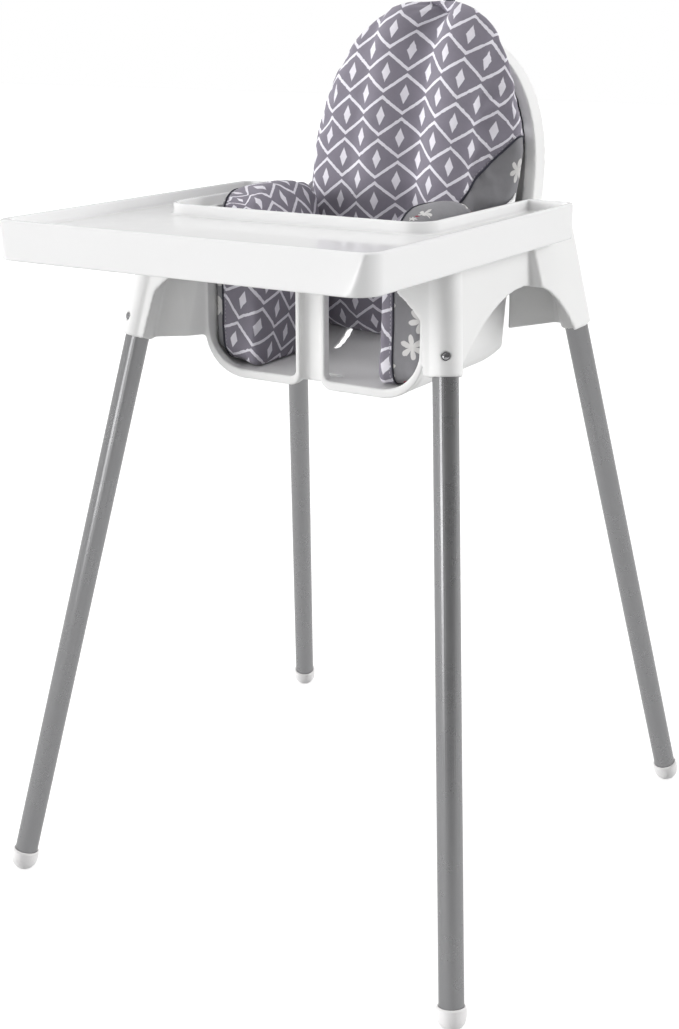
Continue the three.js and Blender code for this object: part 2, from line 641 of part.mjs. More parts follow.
function beltSlot(x, y, turnDegrees) {
  const half = SLOT_LENGTH / 2;
  const shape = rectangle(-SLOT_WIDTH / 2, SLOT_WIDTH / 2, -half, half, SLOT_WIDTH / 2 - 0.1);
  const cutter = extrudeUp(shape, SEAT_Z - BEYOND / 2, SEAT_Z + BEYOND / 2);
  return solid(cutter.rotateZ(THREE.MathUtils.degToRad(turnDegrees)).translate(x, y, 0));
}

// Bore for the tube, hole for the button and the dimple round it.
function socketCuts(leg) {
  const top = INSERT_DEPTH + CLEARANCE;
  const bore = lathe([[0, -BEYOND], [SOCKET_RADIUS, -BEYOND], [SOCKET_RADIUS, top], [0, top]]);
  const hole = buttonBar(BUTTON_HOLE, 0, COLUMN_RADIUS + BEYOND);
  const ball = (DIMPLE_RADIUS ** 2 + DIMPLE_DEPTH ** 2) / (2 * DIMPLE_DEPTH);
  const dimple = new THREE.SphereGeometry(ball, ROUND_STEPS, ROUND_STEPS);
  dimple.translate(COLUMN_RADIUS - DIMPLE_DEPTH + ball, 0, BUTTON_HEIGHT);
  return [bore, hole, dimple].map((geometry) => solid(geometry.applyMatrix4(leg.matrix)));
}

function seatShell() {
  const walls = tubSpace(SHELL_WALL, SWEEP_TOP_Z).subtract(coamingTrim()).subtract(tubSpace(0, SKY_Z));
  const frame = union([skirts(), ...LEGS.map(column), ...LEGS.flatMap(gussets)]);
  let seat = frame.subtract(tubSpace(0, SKY_Z)).add(walls).add(backrest());
  const frontY = TUB_FRONT_Y - SHELL_WALL;
  for (const side of Object.values(SIDES)) {
    const ring = extrudeBack(openingShape(side, RING_SIDE, RING_BELOW), frontY - RING_DEPTH, TUB_FRONT_Y);
    seat = seat.add(solid(ring));
  }
  for (const side of Object.values(SIDES)) {
    const opening = extrudeBack(openingShape(side, 0, 0), frontY - BEYOND, TUB_FRONT_Y + SHELL_WALL);
    seat = seat.subtract(solid(opening));
  }
  seat = seat.subtract(tubSpace(0, DECK_Z + SHELL_WALL));
  seat = seat.subtract(backSlab(RIM_WIDTH, DECK_Z, FAR_FRONT_Y, 0));
  const [slotX, slotY] = SIDE_SLOT_PLACE;
  const cuts = [
    beltSlot(slotX, slotY, -SIDE_SLOT_TURN),
    beltSlot(-slotX, slotY, SIDE_SLOT_TURN),
    beltSlot(0, CROTCH_SLOT_Y, 90),
    ...LEGS.flatMap(socketCuts),
  ];
  for (const cut of cuts) {
    seat = seat.subtract(cut);
  }
  return geometryOf(seat);
}

// ---------------------------------------------------------------------------------------------
// Tray
// ---------------------------------------------------------------------------------------------

function trayOutline(inset, frontInset) {
  const x = TRAY_HALF_X - inset;
  const frontRound = TRAY_FRONT_ROUND - inset;
  const rearRound = TRAY_REAR_ROUND - inset;
  const front = TRAY_FRONT_Y + frontInset;
  const rear = TRAY_REAR_Y - inset;
  return roundedShape([
    [-x, front, frontRound], [x, front, frontRound],
    [x, rear, rearRound], [-x, rear, rearRound],
  ]);
}

function cutoutOutline(grow) {
  const x = CUTOUT_HALF_X + grow;
  const front = CUTOUT_FRONT_Y - grow;
  const round = CUTOUT_ROUND + grow;
  const rear = TRAY_REAR_Y + BEYOND;
  return roundedShape([[-x, front, round], [x, front, round], [x, rear, 0], [-x, rear, 0]]);
}

function tray() {
  const height = TRAY_TOP_Z - TRAY_BOTTOM_Z;
  const draft = new THREE.Shape();
  draft.moveTo(TRAY_FRONT_Y - BEYOND, TRAY_BOTTOM_Z - BEYOND);
  draft.lineTo(TRAY_FRONT_Y - (TRAY_FRONT_DRAFT * BEYOND) / height, TRAY_BOTTOM_Z - BEYOND);
  draft.lineTo(TRAY_FRONT_Y + (TRAY_FRONT_DRAFT * (height + BEYOND)) / height, TRAY_TOP_Z + BEYOND);
  draft.lineTo(TRAY_FRONT_Y - BEYOND, TRAY_TOP_Z + BEYOND);
  draft.closePath();
  const ceiling = DECK_Z + CLEARANCE;
  const seatHalfX = SOCKET_HALF_X + COLUMN_RADIUS;
  const rimFront = TRAY_RIM + TRAY_FRONT_DRAFT;
  const pocketFront = TRAY_WALL + (TRAY_FRONT_DRAFT * (ceiling - TRAY_BOTTOM_Z)) / height;
  const basin = solid(extrudeUp(trayOutline(TRAY_RIM, rimFront), TRAY_FLOOR_Z, SKY_Z));
  const lip = solid(extrudeUp(cutoutOutline(CUTOUT_LIP), 0, SKY_Z + OVERLAP));
  const pocket = solid(extrudeUp(trayOutline(TRAY_WALL, pocketFront), 0, ceiling));
  const seatWay = solid(box([-seatHalfX, 0, 0], [seatHalfX, TRAY_REAR_Y + BEYOND, ceiling]));
  const body = solid(extrudeUp(trayOutline(0, 0), TRAY_BOTTOM_Z, TRAY_TOP_Z))
    .subtract(basin.subtract(lip))
    .subtract(pocket)
    .subtract(seatWay)
    .subtract(solid(extrudeUp(cutoutOutline(0), -OVERLAP, SKY_Z)))
    .subtract(solid(extrudeAcross(draft, -TRAY_HALF_X - BEYOND, TRAY_HALF_X + BEYOND)));
  return geometryOf(body);
}

// ---------------------------------------------------------------------------------------------
// Support cushion: plain closed pads of the right size
// ---------------------------------------------------------------------------------------------

function cushionWing(side) {
  const outer = TUB_HALF_X - SOFT_CLEARANCE;
  const xs = [side * outer, side * (outer - WING_THICKNESS)].sort((a, b) => a - b);
  const low = [xs[0], TUB_FRONT_Y + SOFT_CLEARANCE, SEAT_Z + SOFT_CLEARANCE];
  const high = [xs[1], WING_REAR_Y, WING_TOP_Z];
  return geometryOf(solid(pad(low, high, WING_SQUARENESS)).intersect(tubSpace(-SOFT_CLEARANCE, SKY_Z)));
}

function cushionBack() {
  const low = [-BACK_PAD_HALF_X, BACK_Y - BACK_PAD_THICKNESS, BACK_PAD_LOW_Z];
  const high = [BACK_PAD_HALF_X, BACK_Y + BACK_PAD_THICKNESS - 2 * BACK_PAD_SEAM, BACK_PAD_TOP_Z];
  const outline = domedOutline(BACK_PAD_HALF_X, 0, BACK_PAD_ROUND_Z, BACK_PAD_ROUND_HEIGHT, BACK_ROUNDNESS);
  const puff = pad(low, high, BACK_PAD_SQUARENESS).applyMatrix4(LEAN_MATRIX);
  const body = solid(puff).intersect(leanSlab(outline, -BACK_Y, 0));
  const clear = SOFT_CLEARANCE + RIM_FRONT;
  const plan = rectangle(-TRAY_HALF_X, TRAY_HALF_X, FAR_FRONT_Y, BACK_Y - clear);
  const beforeRim = extrudeUp(plan, SWEEP_TOP_Z + SOFT_CLEARANCE, SKY_Z);
  const room = union([
    tubSpace(-SOFT_CLEARANCE, COAMING_Z + OVERLAP),
    backSlab(RIM_WIDTH + SOFT_CLEARANCE, DECK_Z, FAR_FRONT_Y, -SOFT_CLEARANCE),
    solid(beforeRim.applyMatrix4(LEAN_MATRIX)),
  ]);
  const wingRear = WING_REAR_Y + BACK_PAD_WING_GAP;
  const wings = box([-TRAY_HALF_X, FAR_FRONT_Y, 0], [TRAY_HALF_X, wingRear, WING_TOP_Z]);
  return geometryOf(body.intersect(room).subtract(solid(wings)));
}

// Cloth pocket over the top of the backrest, closed at the back.
function cushionPocket() {
  const rear = RIM_REAR + SOFT_CLEARANCE;
  const front = CLEARANCE - SOFT_CLEARANCE - RIM_FRONT;
  const outer = backSlab(-SOFT_CLEARANCE - POCKET_CLOTH, DECK_Z, front, rear + POCKET_CLOTH);
  const inner = backSlab(-SOFT_CLEARANCE, 0, -BEYOND, rear);
  const strip = solid(box([-POCKET_HALF_X, 0, POCKET_LOW_Z], [POCKET_HALF_X, BACK_Y + BEYOND * 2, SKY_Z]));
  return geometryOf(outer.subtract(inner).intersect(strip));
}

// ---------------------------------------------------------------------------------------------
// Assembly
// ---------------------------------------------------------------------------------------------

const chair = new THREE.Group();

function addPiece(parent, name, geometry, look) {
  const mesh = new THREE.Mesh(geometry, new THREE.MeshStandardMaterial(look));
  mesh.name = name;
  parent.add(mesh);
}

addPiece(chair, 'seat_shell', seatShell(), WHITE_PLASTIC);
addPiece(chair, 'tray', tray(), TRAY_PLASTIC);
addPiece(chair, 'cushion_back', cushionBack(), CLOTH);
addPiece(chair, 'cushion_pocket', cushionPocket(), CLOTH);
for (const [sideName, side] of Object.entries(SIDES)) {
  addPiece(chair, `cushion_wing_${sideName}`, cushionWing(side), CLOTH);
}
for (const leg of LEGS) {
  const frame = new THREE.Group();
  frame.applyMatrix4(leg.matrix);
  addPiece(frame, `leg_${leg.name}`, legTube(leg), SILVER_PAINT);
  addPiece(frame, `lock_button_${leg.name}`, lockButton(), STEEL);
  addPiece(frame, `lock_spring_${leg.name}`, lockSpring(), STEEL);
  chair.add(frame);
  addPiece(chair, `foot_${leg.name}`, foot(leg), FOOT_PLASTIC);
}

export default chair;
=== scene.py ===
"""Looks of the baby high chair: a moulded white seat on four plug-in tube legs, a clip-on tray and a padded
support cushion with a printed cover. Metres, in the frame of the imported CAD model."""

import json
import math

import bmesh
import bpy
import numpy as np
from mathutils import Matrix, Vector
from mathutils.bvhtree import BVHTree


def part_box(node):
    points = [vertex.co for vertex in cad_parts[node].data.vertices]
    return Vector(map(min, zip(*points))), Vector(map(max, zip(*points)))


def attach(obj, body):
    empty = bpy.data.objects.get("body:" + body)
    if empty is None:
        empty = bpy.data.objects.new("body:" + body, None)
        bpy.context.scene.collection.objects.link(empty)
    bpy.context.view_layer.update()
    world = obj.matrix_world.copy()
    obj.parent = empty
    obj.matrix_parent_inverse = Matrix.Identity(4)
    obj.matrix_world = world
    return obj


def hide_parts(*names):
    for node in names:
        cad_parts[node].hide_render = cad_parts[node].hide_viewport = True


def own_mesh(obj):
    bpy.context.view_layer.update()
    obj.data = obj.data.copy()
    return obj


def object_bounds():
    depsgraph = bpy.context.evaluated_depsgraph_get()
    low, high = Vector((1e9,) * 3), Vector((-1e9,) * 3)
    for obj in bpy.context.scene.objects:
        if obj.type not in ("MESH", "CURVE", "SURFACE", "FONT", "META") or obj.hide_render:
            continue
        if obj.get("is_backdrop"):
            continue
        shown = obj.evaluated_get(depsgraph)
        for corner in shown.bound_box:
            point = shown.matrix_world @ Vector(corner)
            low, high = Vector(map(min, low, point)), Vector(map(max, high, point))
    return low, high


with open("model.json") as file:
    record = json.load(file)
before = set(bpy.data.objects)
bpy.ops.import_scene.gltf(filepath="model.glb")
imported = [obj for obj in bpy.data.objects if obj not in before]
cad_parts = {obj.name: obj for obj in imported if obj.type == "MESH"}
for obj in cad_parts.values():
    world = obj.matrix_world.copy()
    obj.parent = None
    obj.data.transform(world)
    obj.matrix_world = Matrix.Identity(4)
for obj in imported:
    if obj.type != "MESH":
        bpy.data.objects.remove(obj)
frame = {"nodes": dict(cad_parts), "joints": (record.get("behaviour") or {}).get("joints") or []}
CAD_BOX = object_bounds()
NODES = frame["nodes"]
MM = 0.001


# ---------------------------------------------------------------------------------------------
# Materials
# ---------------------------------------------------------------------------------------------


class Shader:
    """A material's nodes, built with short calls."""

    def __init__(self, name, **sockets):
        self.material = bpy.data.materials.new(name)
        self.material.use_nodes = True
        self.tree = self.material.node_tree
        self.surface = self.tree.nodes["Principled BSDF"]
        for socket, value in sockets.items():
            self.surface.inputs[socket.replace("_", " ")].default_value = value

    def add(self, kind, inputs=None, **settings):
        made = self.tree.nodes.new("ShaderNode" + kind)
        for name, value in settings.items():
            setattr(made, name, value)
        for name, value in (inputs or {}).items():
            self.feed(made.inputs[name], value)
        return made

    def feed(self, socket, value):
        if isinstance(value, bpy.types.NodeSocket):
            self.tree.links.new(value, socket)
        else:
            socket.default_value = value

    def math(self, operation, *values):
        made = self.add("Math", operation=operation)
        for i, value in enumerate(values):
            self.feed(made.inputs[i], value)
        return made.outputs[0]

    def mix(self, factor, low, high):
        made = self.add("Mix", data_type="RGBA")
        self.feed(made.inputs["Factor"], factor)
        self.feed(made.inputs[6], low)
        self.feed(made.inputs[7], high)
        return made.outputs[2]

    def spread(self, value, low, high, to_low=0.0, to_high=1.0):
        """Maps value from low..high to to_low..to_high, and clamps it."""
        made = self.add("MapRange", {"From Min": low, "From Max": high, "To Min": to_low, "To Max": to_high})
        self.feed(made.inputs["Value"], value)
        return made.outputs["Result"]

    def place(self):
        return self.add("TexCoord").outputs["Object"]

    def noise(self, vector, scale, detail=3.0, roughness=0.5):
        inputs = {"Vector": vector, "Scale": scale, "Detail": detail, "Roughness": roughness}
        return self.add("TexNoise", inputs).outputs["Fac"]

    def bump(self, height, distance, strength=1.0, normal=None):
        made = self.add("Bump", {"Height": height, "Distance": distance, "Strength": strength})
        if normal is not None:
            self.feed(made.inputs["Normal"], normal)
        return made.outputs["Normal"]

    def set(self, socket, value):
        self.feed(self.surface.inputs[socket], value)


def moulded_plastic(name, shade, tint, roughness, grain, grain_depth):
    """Injection-moulded plastic: nearly even colour, slight flow marks and a fine grain."""
    shader = Shader(name)
    place = shader.place()
    flow = shader.noise(place, 9.0, 2.0)
    low = [c * (1 - tint) for c in shade] + [1]
    shader.set("Base Color", shader.mix(flow, low, list(shade) + [1]))
    smear = shader.noise(place, 38.0, 4.0, 0.6)
    shader.set("Roughness", shader.spread(smear, 0.3, 0.7, roughness - 0.04, roughness + 0.05))
    fine = shader.noise(place, grain, 2.0, 0.6)
    shader.set("Normal", shader.bump(fine, grain_depth))
    return shader.material


SEAT_PLASTIC = moulded_plastic(
    "seat_plastic", (0.85, 0.85, 0.845), tint=0.02, roughness=0.34, grain=900.0, grain_depth=0.02 * MM
)
TRAY_PLASTIC = moulded_plastic(
    "tray_plastic", (0.85, 0.85, 0.85), tint=0.015, roughness=0.1, grain=500.0, grain_depth=0.004 * MM
)
FOOT_PLASTIC = moulded_plastic(
    "foot_plastic", (0.86, 0.85, 0.85), tint=0.04, roughness=0.42, grain=700.0, grain_depth=0.03 * MM
)


def leg_paint():
    """Silver paint: fine metal flakes in a smooth coat, with faint rub marks."""
    shader = Shader("leg_paint", Metallic=0.75)
    place = shader.place()
    flake = shader.noise(place, 2600.0, 1.0)
    shader.set("Base Color", shader.mix(flake, [0.28, 0.28, 0.285, 1], [0.35, 0.35, 0.356, 1]))
    rub = shader.noise(place, 24.0, 5.0, 0.65)
    shader.set("Roughness", shader.spread(rub, 0.3, 0.75, 0.24, 0.34))
    shader.set("Normal", shader.bump(flake, 0.003 * MM))
    return shader.material


def dark_steel():
    """Blackened spring steel with fine brush lines."""
    shader = Shader("lock_steel", Metallic=1.0)
    place = shader.place()
    stretch = shader.add("Mapping", {"Vector": place, "Scale": (300.0, 300.0, 4000.0)}).outputs["Vector"]
    brush = shader.noise(stretch, 1.0, 2.0)
    shader.set("Base Color", shader.mix(brush, [0.25, 0.25, 0.26, 1], [0.55, 0.55, 0.56, 1]))
    shader.set("Roughness", shader.spread(brush, 0.2, 0.8, 0.12, 0.25))
    shader.set("Normal", shader.bump(brush, 0.01 * MM))
    return shader.material


LEG_PAINT = leg_paint()
STEEL = dark_steel()


# ---------------------------------------------------------------------------------------------
# Mesh helpers
# ---------------------------------------------------------------------------------------------


def paint(mesh, material):
    """Gives a mesh one material."""
    mesh.materials.clear()
    mesh.materials.append(material)


def shade_smooth(mesh):
    for polygon in mesh.polygons:
        polygon.use_smooth = True


def make_object(name, mesh, material, body=None):
    """A smooth piece in the scene, which rides a body where one is given."""
    made = bpy.data.objects.new(name, mesh)
    bpy.context.scene.collection.objects.link(made)
    paint(mesh, material)
    shade_smooth(mesh)
    if body:
        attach(made, body)
    return made


def apply_modifiers(made):
    """Replaces the object's mesh by what its modifiers make of it."""
    graph = bpy.context.evaluated_depsgraph_get()
    mesh = bpy.data.meshes.new_from_object(made.evaluated_get(graph), depsgraph=graph)
    made.modifiers.clear()
    made.data = mesh


def moulded(node, name, material, body, voxel, soften, keep):
    """A CAD node's shape again with the rounded edges of a moulding."""
    made = make_object(name, NODES[node].data.copy(), material)
    remesh = made.modifiers.new("remesh", "REMESH")
    remesh.mode = "VOXEL"
    remesh.voxel_size = voxel
    smooth = made.modifiers.new("smooth", "SMOOTH")
    smooth.factor = 0.5
    smooth.iterations = soften
    decimate = made.modifiers.new("decimate", "DECIMATE")
    decimate.ratio = keep
    apply_modifiers(made)
    shade_smooth(made.data)
    paint(made.data, material)
    normals = made.modifiers.new("normals", "WEIGHTED_NORMAL")
    normals.weight = 80
    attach(made, body)
    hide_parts(node)


MOULDING_KEEP = 0.3  # share of the remeshed faces that stay
moulded("seat_shell", "seat_moulding", SEAT_PLASTIC, "chair",
        voxel=1.5 * MM, soften=6, keep=MOULDING_KEEP)
moulded("tray", "tray_moulding", TRAY_PLASTIC, "tray",
        voxel=1.3 * MM, soften=8, keep=MOULDING_KEEP)

CAD_MATERIALS = {"leg_": LEG_PAINT, "foot_": FOOT_PLASTIC, "lock_button_": STEEL}  # by start of node name
for name, node in NODES.items():
    for prefix, material in CAD_MATERIALS.items():
        if name.startswith(prefix):
            paint(node.data, material)


def build_springs():
    """Leaf springs in the places of the CAD ones, riding on the chair."""
    for joint in frame["joints"]:
        if not joint["name"].startswith("press_"):
            continue
        corner = joint["name"].replace("press_", "")
        mesh = NODES["lock_spring_" + corner].data.copy()
        spring = make_object("leaf_spring_" + corner, mesh, STEEL, "chair")
        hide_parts("lock_spring_" + corner)
        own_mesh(spring)


build_springs()


# ---------------------------------------------------------------------------------------------
# Printed cloth
# ---------------------------------------------------------------------------------------------

COLUMN_PITCH = 42.5 * MM  # width of one zigzag of the print
ROW_PITCH = 21.4 * MM
ZIGZAG_AMPLITUDE = 7.9 * MM
LINE_HALF = 1.8 * MM  # half the height of a zigzag line
DIAMOND_HALF = (4.4 * MM, 9.6 * MM)
MOTIF_PITCH = 31 * MM  # spacing of the sprigs and berries on the reverse cloth
SPRIG_PETALS = 6
SPRIG_RADII = (0.1, 0.3)  # waist of a petal, and what its tip adds, in pitches
SPRIG_SOFTNESS = 0.012
SPRIG_FROM = 0.45  # of the places 0 to 1, those above this have a sprig
BERRY_RADII = (0.17, 0.2)  # a berry's colour ends between these, in pitches
BERRY_BELOW = 0.2  # and those below this have a berry
THREAD_PITCH = 0.9 * MM
CLOTH_GROUND = [0.235, 0.218, 0.262, 1]
CLOTH_LINE = [0.80, 0.78, 0.84, 1]
REVERSE_GROUND = [0.235, 0.232, 0.245, 1]
REVERSE_LEAF = [0.66, 0.65, 0.64, 1]
REVERSE_BERRY = [0.30, 0.03, 0.06, 1]
CLOTH = "cloth"  # attribute on padded pieces: place along and across the print, then depth past the seam


def off_column(shader, column, row):
    """Distance to the nearest column of diamonds, in pitches; every other row is shifted by half."""
    odd = shader.math("FLOORED_MODULO", row, 2.0)
    shifted = shader.math("MULTIPLY_ADD", odd, 0.5, column)
    return shader.math("PINGPONG", shifted, 0.5)


def diamond_print(shader, column, row):
    nearest = shader.math("ROUND", row)
    across = shader.math("MULTIPLY", off_column(shader, column, nearest), COLUMN_PITCH / DIAMOND_HALF[0])
    off_row = shader.math("ABSOLUTE", shader.math("SUBTRACT", row, nearest))
    reach = shader.math("MULTIPLY_ADD", off_row, ROW_PITCH / DIAMOND_HALF[1], across)
    return shader.spread(reach, 0.93, 1.07, 1.0, 0.0)


def zigzag_print(shader, column, row):
    below = shader.math("FLOOR", row)
    slope = shader.math("MULTIPLY", off_column(shader, column, below), 4 * ZIGZAG_AMPLITUDE)
    height = shader.math("SUBTRACT", shader.math("SUBTRACT", row, below), 0.5)
    lift = shader.math("MULTIPLY_ADD", height, ROW_PITCH, -ZIGZAG_AMPLITUDE)
    off_line = shader.math("ABSOLUTE", shader.math("ADD", lift, slope))
    return shader.spread(off_line, LINE_HALF - 0.2 * MM, LINE_HALF + 0.2 * MM, 1.0, 0.0)


def face_colour(shader, along, across):
    """Zigzag lines and small diamonds on a grey ground."""
    column = shader.math("DIVIDE", along, COLUMN_PITCH)
    row = shader.math("DIVIDE", across, ROW_PITCH)
    printed = shader.math("MAXIMUM", diamond_print(shader, column, row), zigzag_print(shader, column, row))
    return shader.mix(printed, CLOTH_GROUND, CLOTH_LINE)


def reverse_colour(shader, along, across):
    """Loose sprigs and berries on a plain grey ground."""
    flat = shader.add("CombineXYZ", {"X": along, "Y": across}).outputs[0]
    layout = {"Vector": flat, "Scale": 1 / MOTIF_PITCH, "Randomness": 0.7}
    cells = shader.add("TexVoronoi", layout, voronoi_dimensions="2D")
    local = shader.add("VectorMath", {0: flat, 1: cells.outputs["Position"]}, operation="SUBTRACT").outputs[0]
    x, y, _ = shader.add("SeparateXYZ", {"Vector": local}).outputs
    turn, kind, _ = shader.add("SeparateColor", {"Color": cells.outputs["Color"]}).outputs
    angle = shader.math("ADD", shader.math("ARCTAN2", y, x), shader.math("MULTIPLY", turn, math.tau))
    wave = shader.math("COSINE", shader.math("MULTIPLY", angle, SPRIG_PETALS / 2))
    edge = shader.math("MULTIPLY_ADD", shader.math("ABSOLUTE", wave), SPRIG_RADII[1], SPRIG_RADII[0])
    radius = cells.outputs["Distance"]
    past_edge = shader.math("SUBTRACT", radius, edge)
    leaf = shader.spread(past_edge, -SPRIG_SOFTNESS, SPRIG_SOFTNESS, 1.0, 0.0)
    leaf = shader.math("MULTIPLY", leaf, shader.math("GREATER_THAN", kind, SPRIG_FROM))
    berry = shader.spread(radius, *BERRY_RADII, 1.0, 0.0)
    berry = shader.math("MULTIPLY", berry, shader.math("LESS_THAN", kind, BERRY_BELOW))
    colour = shader.mix(leaf, REVERSE_GROUND, REVERSE_LEAF)
    return shader.mix(berry, colour, REVERSE_BERRY)


def cushion_cloth():
    """Cotton printed on its face, with the reverse cloth behind the seam."""
    shader = Shader("cushion_cloth", Roughness=0.86, Sheen_Weight=0.12, Sheen_Roughness=0.5)
    place = shader.add("Attribute", attribute_name=CLOTH).outputs["Vector"]
    along, across, depth = shader.add("SeparateXYZ", {"Vector": place}).outputs
    body = shader.place()
    wobble = shader.noise(body, 300.0, 2.0)
    across = shader.math("ADD", across, shader.spread(wobble, 0.3, 0.7, -0.25 * MM, 0.25 * MM))
    face = face_colour(shader, along, across)
    reverse = reverse_colour(shader, along, across)
    colour = shader.mix(shader.spread(depth, -0.1 * MM, 0.1 * MM), reverse, face)
    fade = shader.spread(shader.noise(body, 55.0, 5.0, 0.65), 0.3, 0.7, 0.93, 1.05)
    shader.set("Base Color", shader.add("VectorMath", {0: colour, 1: fade}, operation="MULTIPLY").outputs[0])
    turns = [shader.math("MULTIPLY", axis, math.tau / THREAD_PITCH) for axis in (along, across)]
    weave = shader.math("MULTIPLY", *[shader.math("SINE", turn) for turn in turns])
    fine = shader.bump(weave, 0.05 * MM, 0.6)
    creases = shader.noise(body, 26.0, 4.0, 0.55)
    shader.set("Normal", shader.bump(creases, 2.2 * MM, 0.55, fine))
    return shader.material


def plain_cloth(name, colour):
    """Piping and thread: one dyed colour with uneven fibres."""
    shader = Shader(name, Roughness=0.8, Sheen_Weight=0.1)
    fibres = shader.noise(shader.place(), 1500.0, 3.0, 0.6)
    low = [c * 0.75 for c in colour] + [1]
    shader.set("Base Color", shader.mix(fibres, low, [*colour, 1]))
    shader.set("Normal", shader.bump(fibres, 0.1 * MM, 0.6))
    return shader.material


CUSHION_CLOTH = cushion_cloth()
PIPING = plain_cloth("piping", (0.035, 0.035, 0.05))
THREAD = plain_cloth("thread", (0.62, 0.61, 0.66))


# ---------------------------------------------------------------------------------------------
# Cushions: simulated from their CAD solids
# ---------------------------------------------------------------------------------------------

PAD_VOXEL = 5 * MM
PAD_SHRINK = 2.5 * MM  # the cloth starts this far inside its CAD solid, and swells
PAD_CLEARANCE = 0.8 * MM
PAD_POWER = 3.0  # the solids are rounded boxes with about this exponent
SQUARE_POWER = 8.0  # and the stuffed lower ends are squarer
LOW_END_Z = (590 * MM, 650 * MM)  # below this the ends are square
PAD_PRESSURE = 4.0
SIM_FRAMES = 20
HELD_SPREAD = 6  # steps over which the cloth eases off around a point that is held back
HELD_SHARE = 0.97  # share of the hold that a step passes on


def vertex_places(mesh):
    places = np.empty(len(mesh.vertices) * 3)
    mesh.vertices.foreach_get("co", places)
    return places.reshape(-1, 3)


def set_places(mesh, places):
    mesh.vertices.foreach_set("co", places.ravel())
    mesh.update()


def vertex_normals(mesh):
    normals = np.empty(len(mesh.vertices) * 3)
    mesh.vertices.foreach_get("normal", normals)
    return normals.reshape(-1, 3)


def remeshed(node, name):
    """A CAD solid with an even skin of small quads."""
    made = make_object(name, NODES[node].data.copy(), CUSHION_CLOTH)
    remesh = made.modifiers.new("remesh", "REMESH")
    remesh.mode = "VOXEL"
    remesh.voxel_size = PAD_VOXEL
    smooth = made.modifiers.new("smooth", "SMOOTH")
    smooth.iterations = 4
    apply_modifiers(made)
    return made


def inflate(pad, cap):
    """Swells the pad like stuffed cloth, and moves no point further than cap."""
    set_places(pad.data, vertex_places(pad.data) - PAD_SHRINK * vertex_normals(pad.data))
    start = vertex_places(pad.data)
    cloth = pad.modifiers.new("cloth", "CLOTH")
    settings = cloth.settings
    settings.quality = 6
    settings.mass = 0.3
    settings.tension_stiffness = 12
    settings.compression_stiffness = 12
    settings.bending_stiffness = 0.3
    settings.shrink_min = -0.03
    settings.use_pressure = True
    settings.uniform_pressure_force = PAD_PRESSURE
    settings.effector_weights.gravity = 0
    cloth.point_cache.frame_end = SIM_FRAMES
    scene = bpy.context.scene
    for number in range(1, SIM_FRAMES + 1):
        scene.frame_set(number)
    apply_modifiers(pad)
    moved = vertex_places(pad.data) - start
    scene.frame_set(1)
    length = np.maximum(np.linalg.norm(moved, axis=1, keepdims=True), 1e-9)
    set_places(pad.data, start + moved * np.minimum(1, cap / length))


def surface_tree(mesh):
    """Search tree of a mesh's surface."""
    places = [vertex.co for vertex in mesh.vertices]
    return BVHTree.FromPolygons(places, [tuple(polygon.vertices) for polygon in mesh.polygons])


def settle(pad, rest, blockers):
    """Holds every point back where its way out from the CAD solid meets a neighbour, and its surroundings
    with it."""
    way_out = vertex_places(pad.data) - rest
    lengths = np.maximum(np.linalg.norm(way_out, axis=1), 1e-9)
    held = np.zeros(len(rest))
    for i, (start, way, length) in enumerate(zip(rest, way_out / lengths[:, None], lengths)):
        for tree in blockers:
            met = tree.ray_cast(Vector(start), Vector(way), length + PAD_CLEARANCE)[3]
            if met is not None:
                held[i] = max(held[i], min(length, length + PAD_CLEARANCE - met))
    first, second = np.array([edge.vertices for edge in pad.data.edges]).T
    count = np.bincount(first, minlength=len(rest)) + np.bincount(second, minlength=len(rest))
    for _ in range(HELD_SPREAD):
        around = np.bincount(first, held[second], len(rest)) + np.bincount(second, held[first], len(rest))
        held = np.maximum(held, HELD_SHARE * around / count)
    kept = np.clip(1 - held / lengths, 0, 1)
    set_places(pad.data, rest + way_out * kept[:, None])


def pad_frame(node):
    """Middle and half sizes of a pad's box."""
    low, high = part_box(node)
    return np.array((low + high) / 2), np.array((high - low) / 2)


def set_cloth(pad, cloth):
    attribute = pad.data.attributes.new(CLOTH, "FLOAT_VECTOR", "POINT")
    attribute.data.foreach_set("vector", np.ascontiguousarray(cloth, dtype=np.float32).ravel())


def get_cloth(mesh):
    cloth = np.empty(len(mesh.vertices) * 3, dtype=np.float32)
    mesh.attributes[CLOTH].data.foreach_get("vector", cloth)
    return cloth.reshape(-1, 3)


def stuffed(node, name, cap, cloth_of, shape, blockers):
    """A padded piece in the place of a CAD solid. cap is the furthest it swells, cloth_of gives the print's
    place at each rest point, and shape moves the swollen points."""
    pad = remeshed(node, name)
    rest = vertex_places(pad.data)
    set_cloth(pad, cloth_of(shape(rest, rest)))
    inflate(pad, cap)
    set_places(pad.data, shape(rest, vertex_places(pad.data)))
    settle(pad, rest, blockers)
    subdivide = pad.modifiers.new("subdivide", "SUBSURF")
    subdivide.levels = 1
    subdivide.render_levels = 1
    apply_modifiers(pad)
    shade_smooth(pad.data)
    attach(pad, "chair")
    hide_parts(node)
    return pad


# ---------------------------------------------------------------------------------------------
# Back pad
# ---------------------------------------------------------------------------------------------

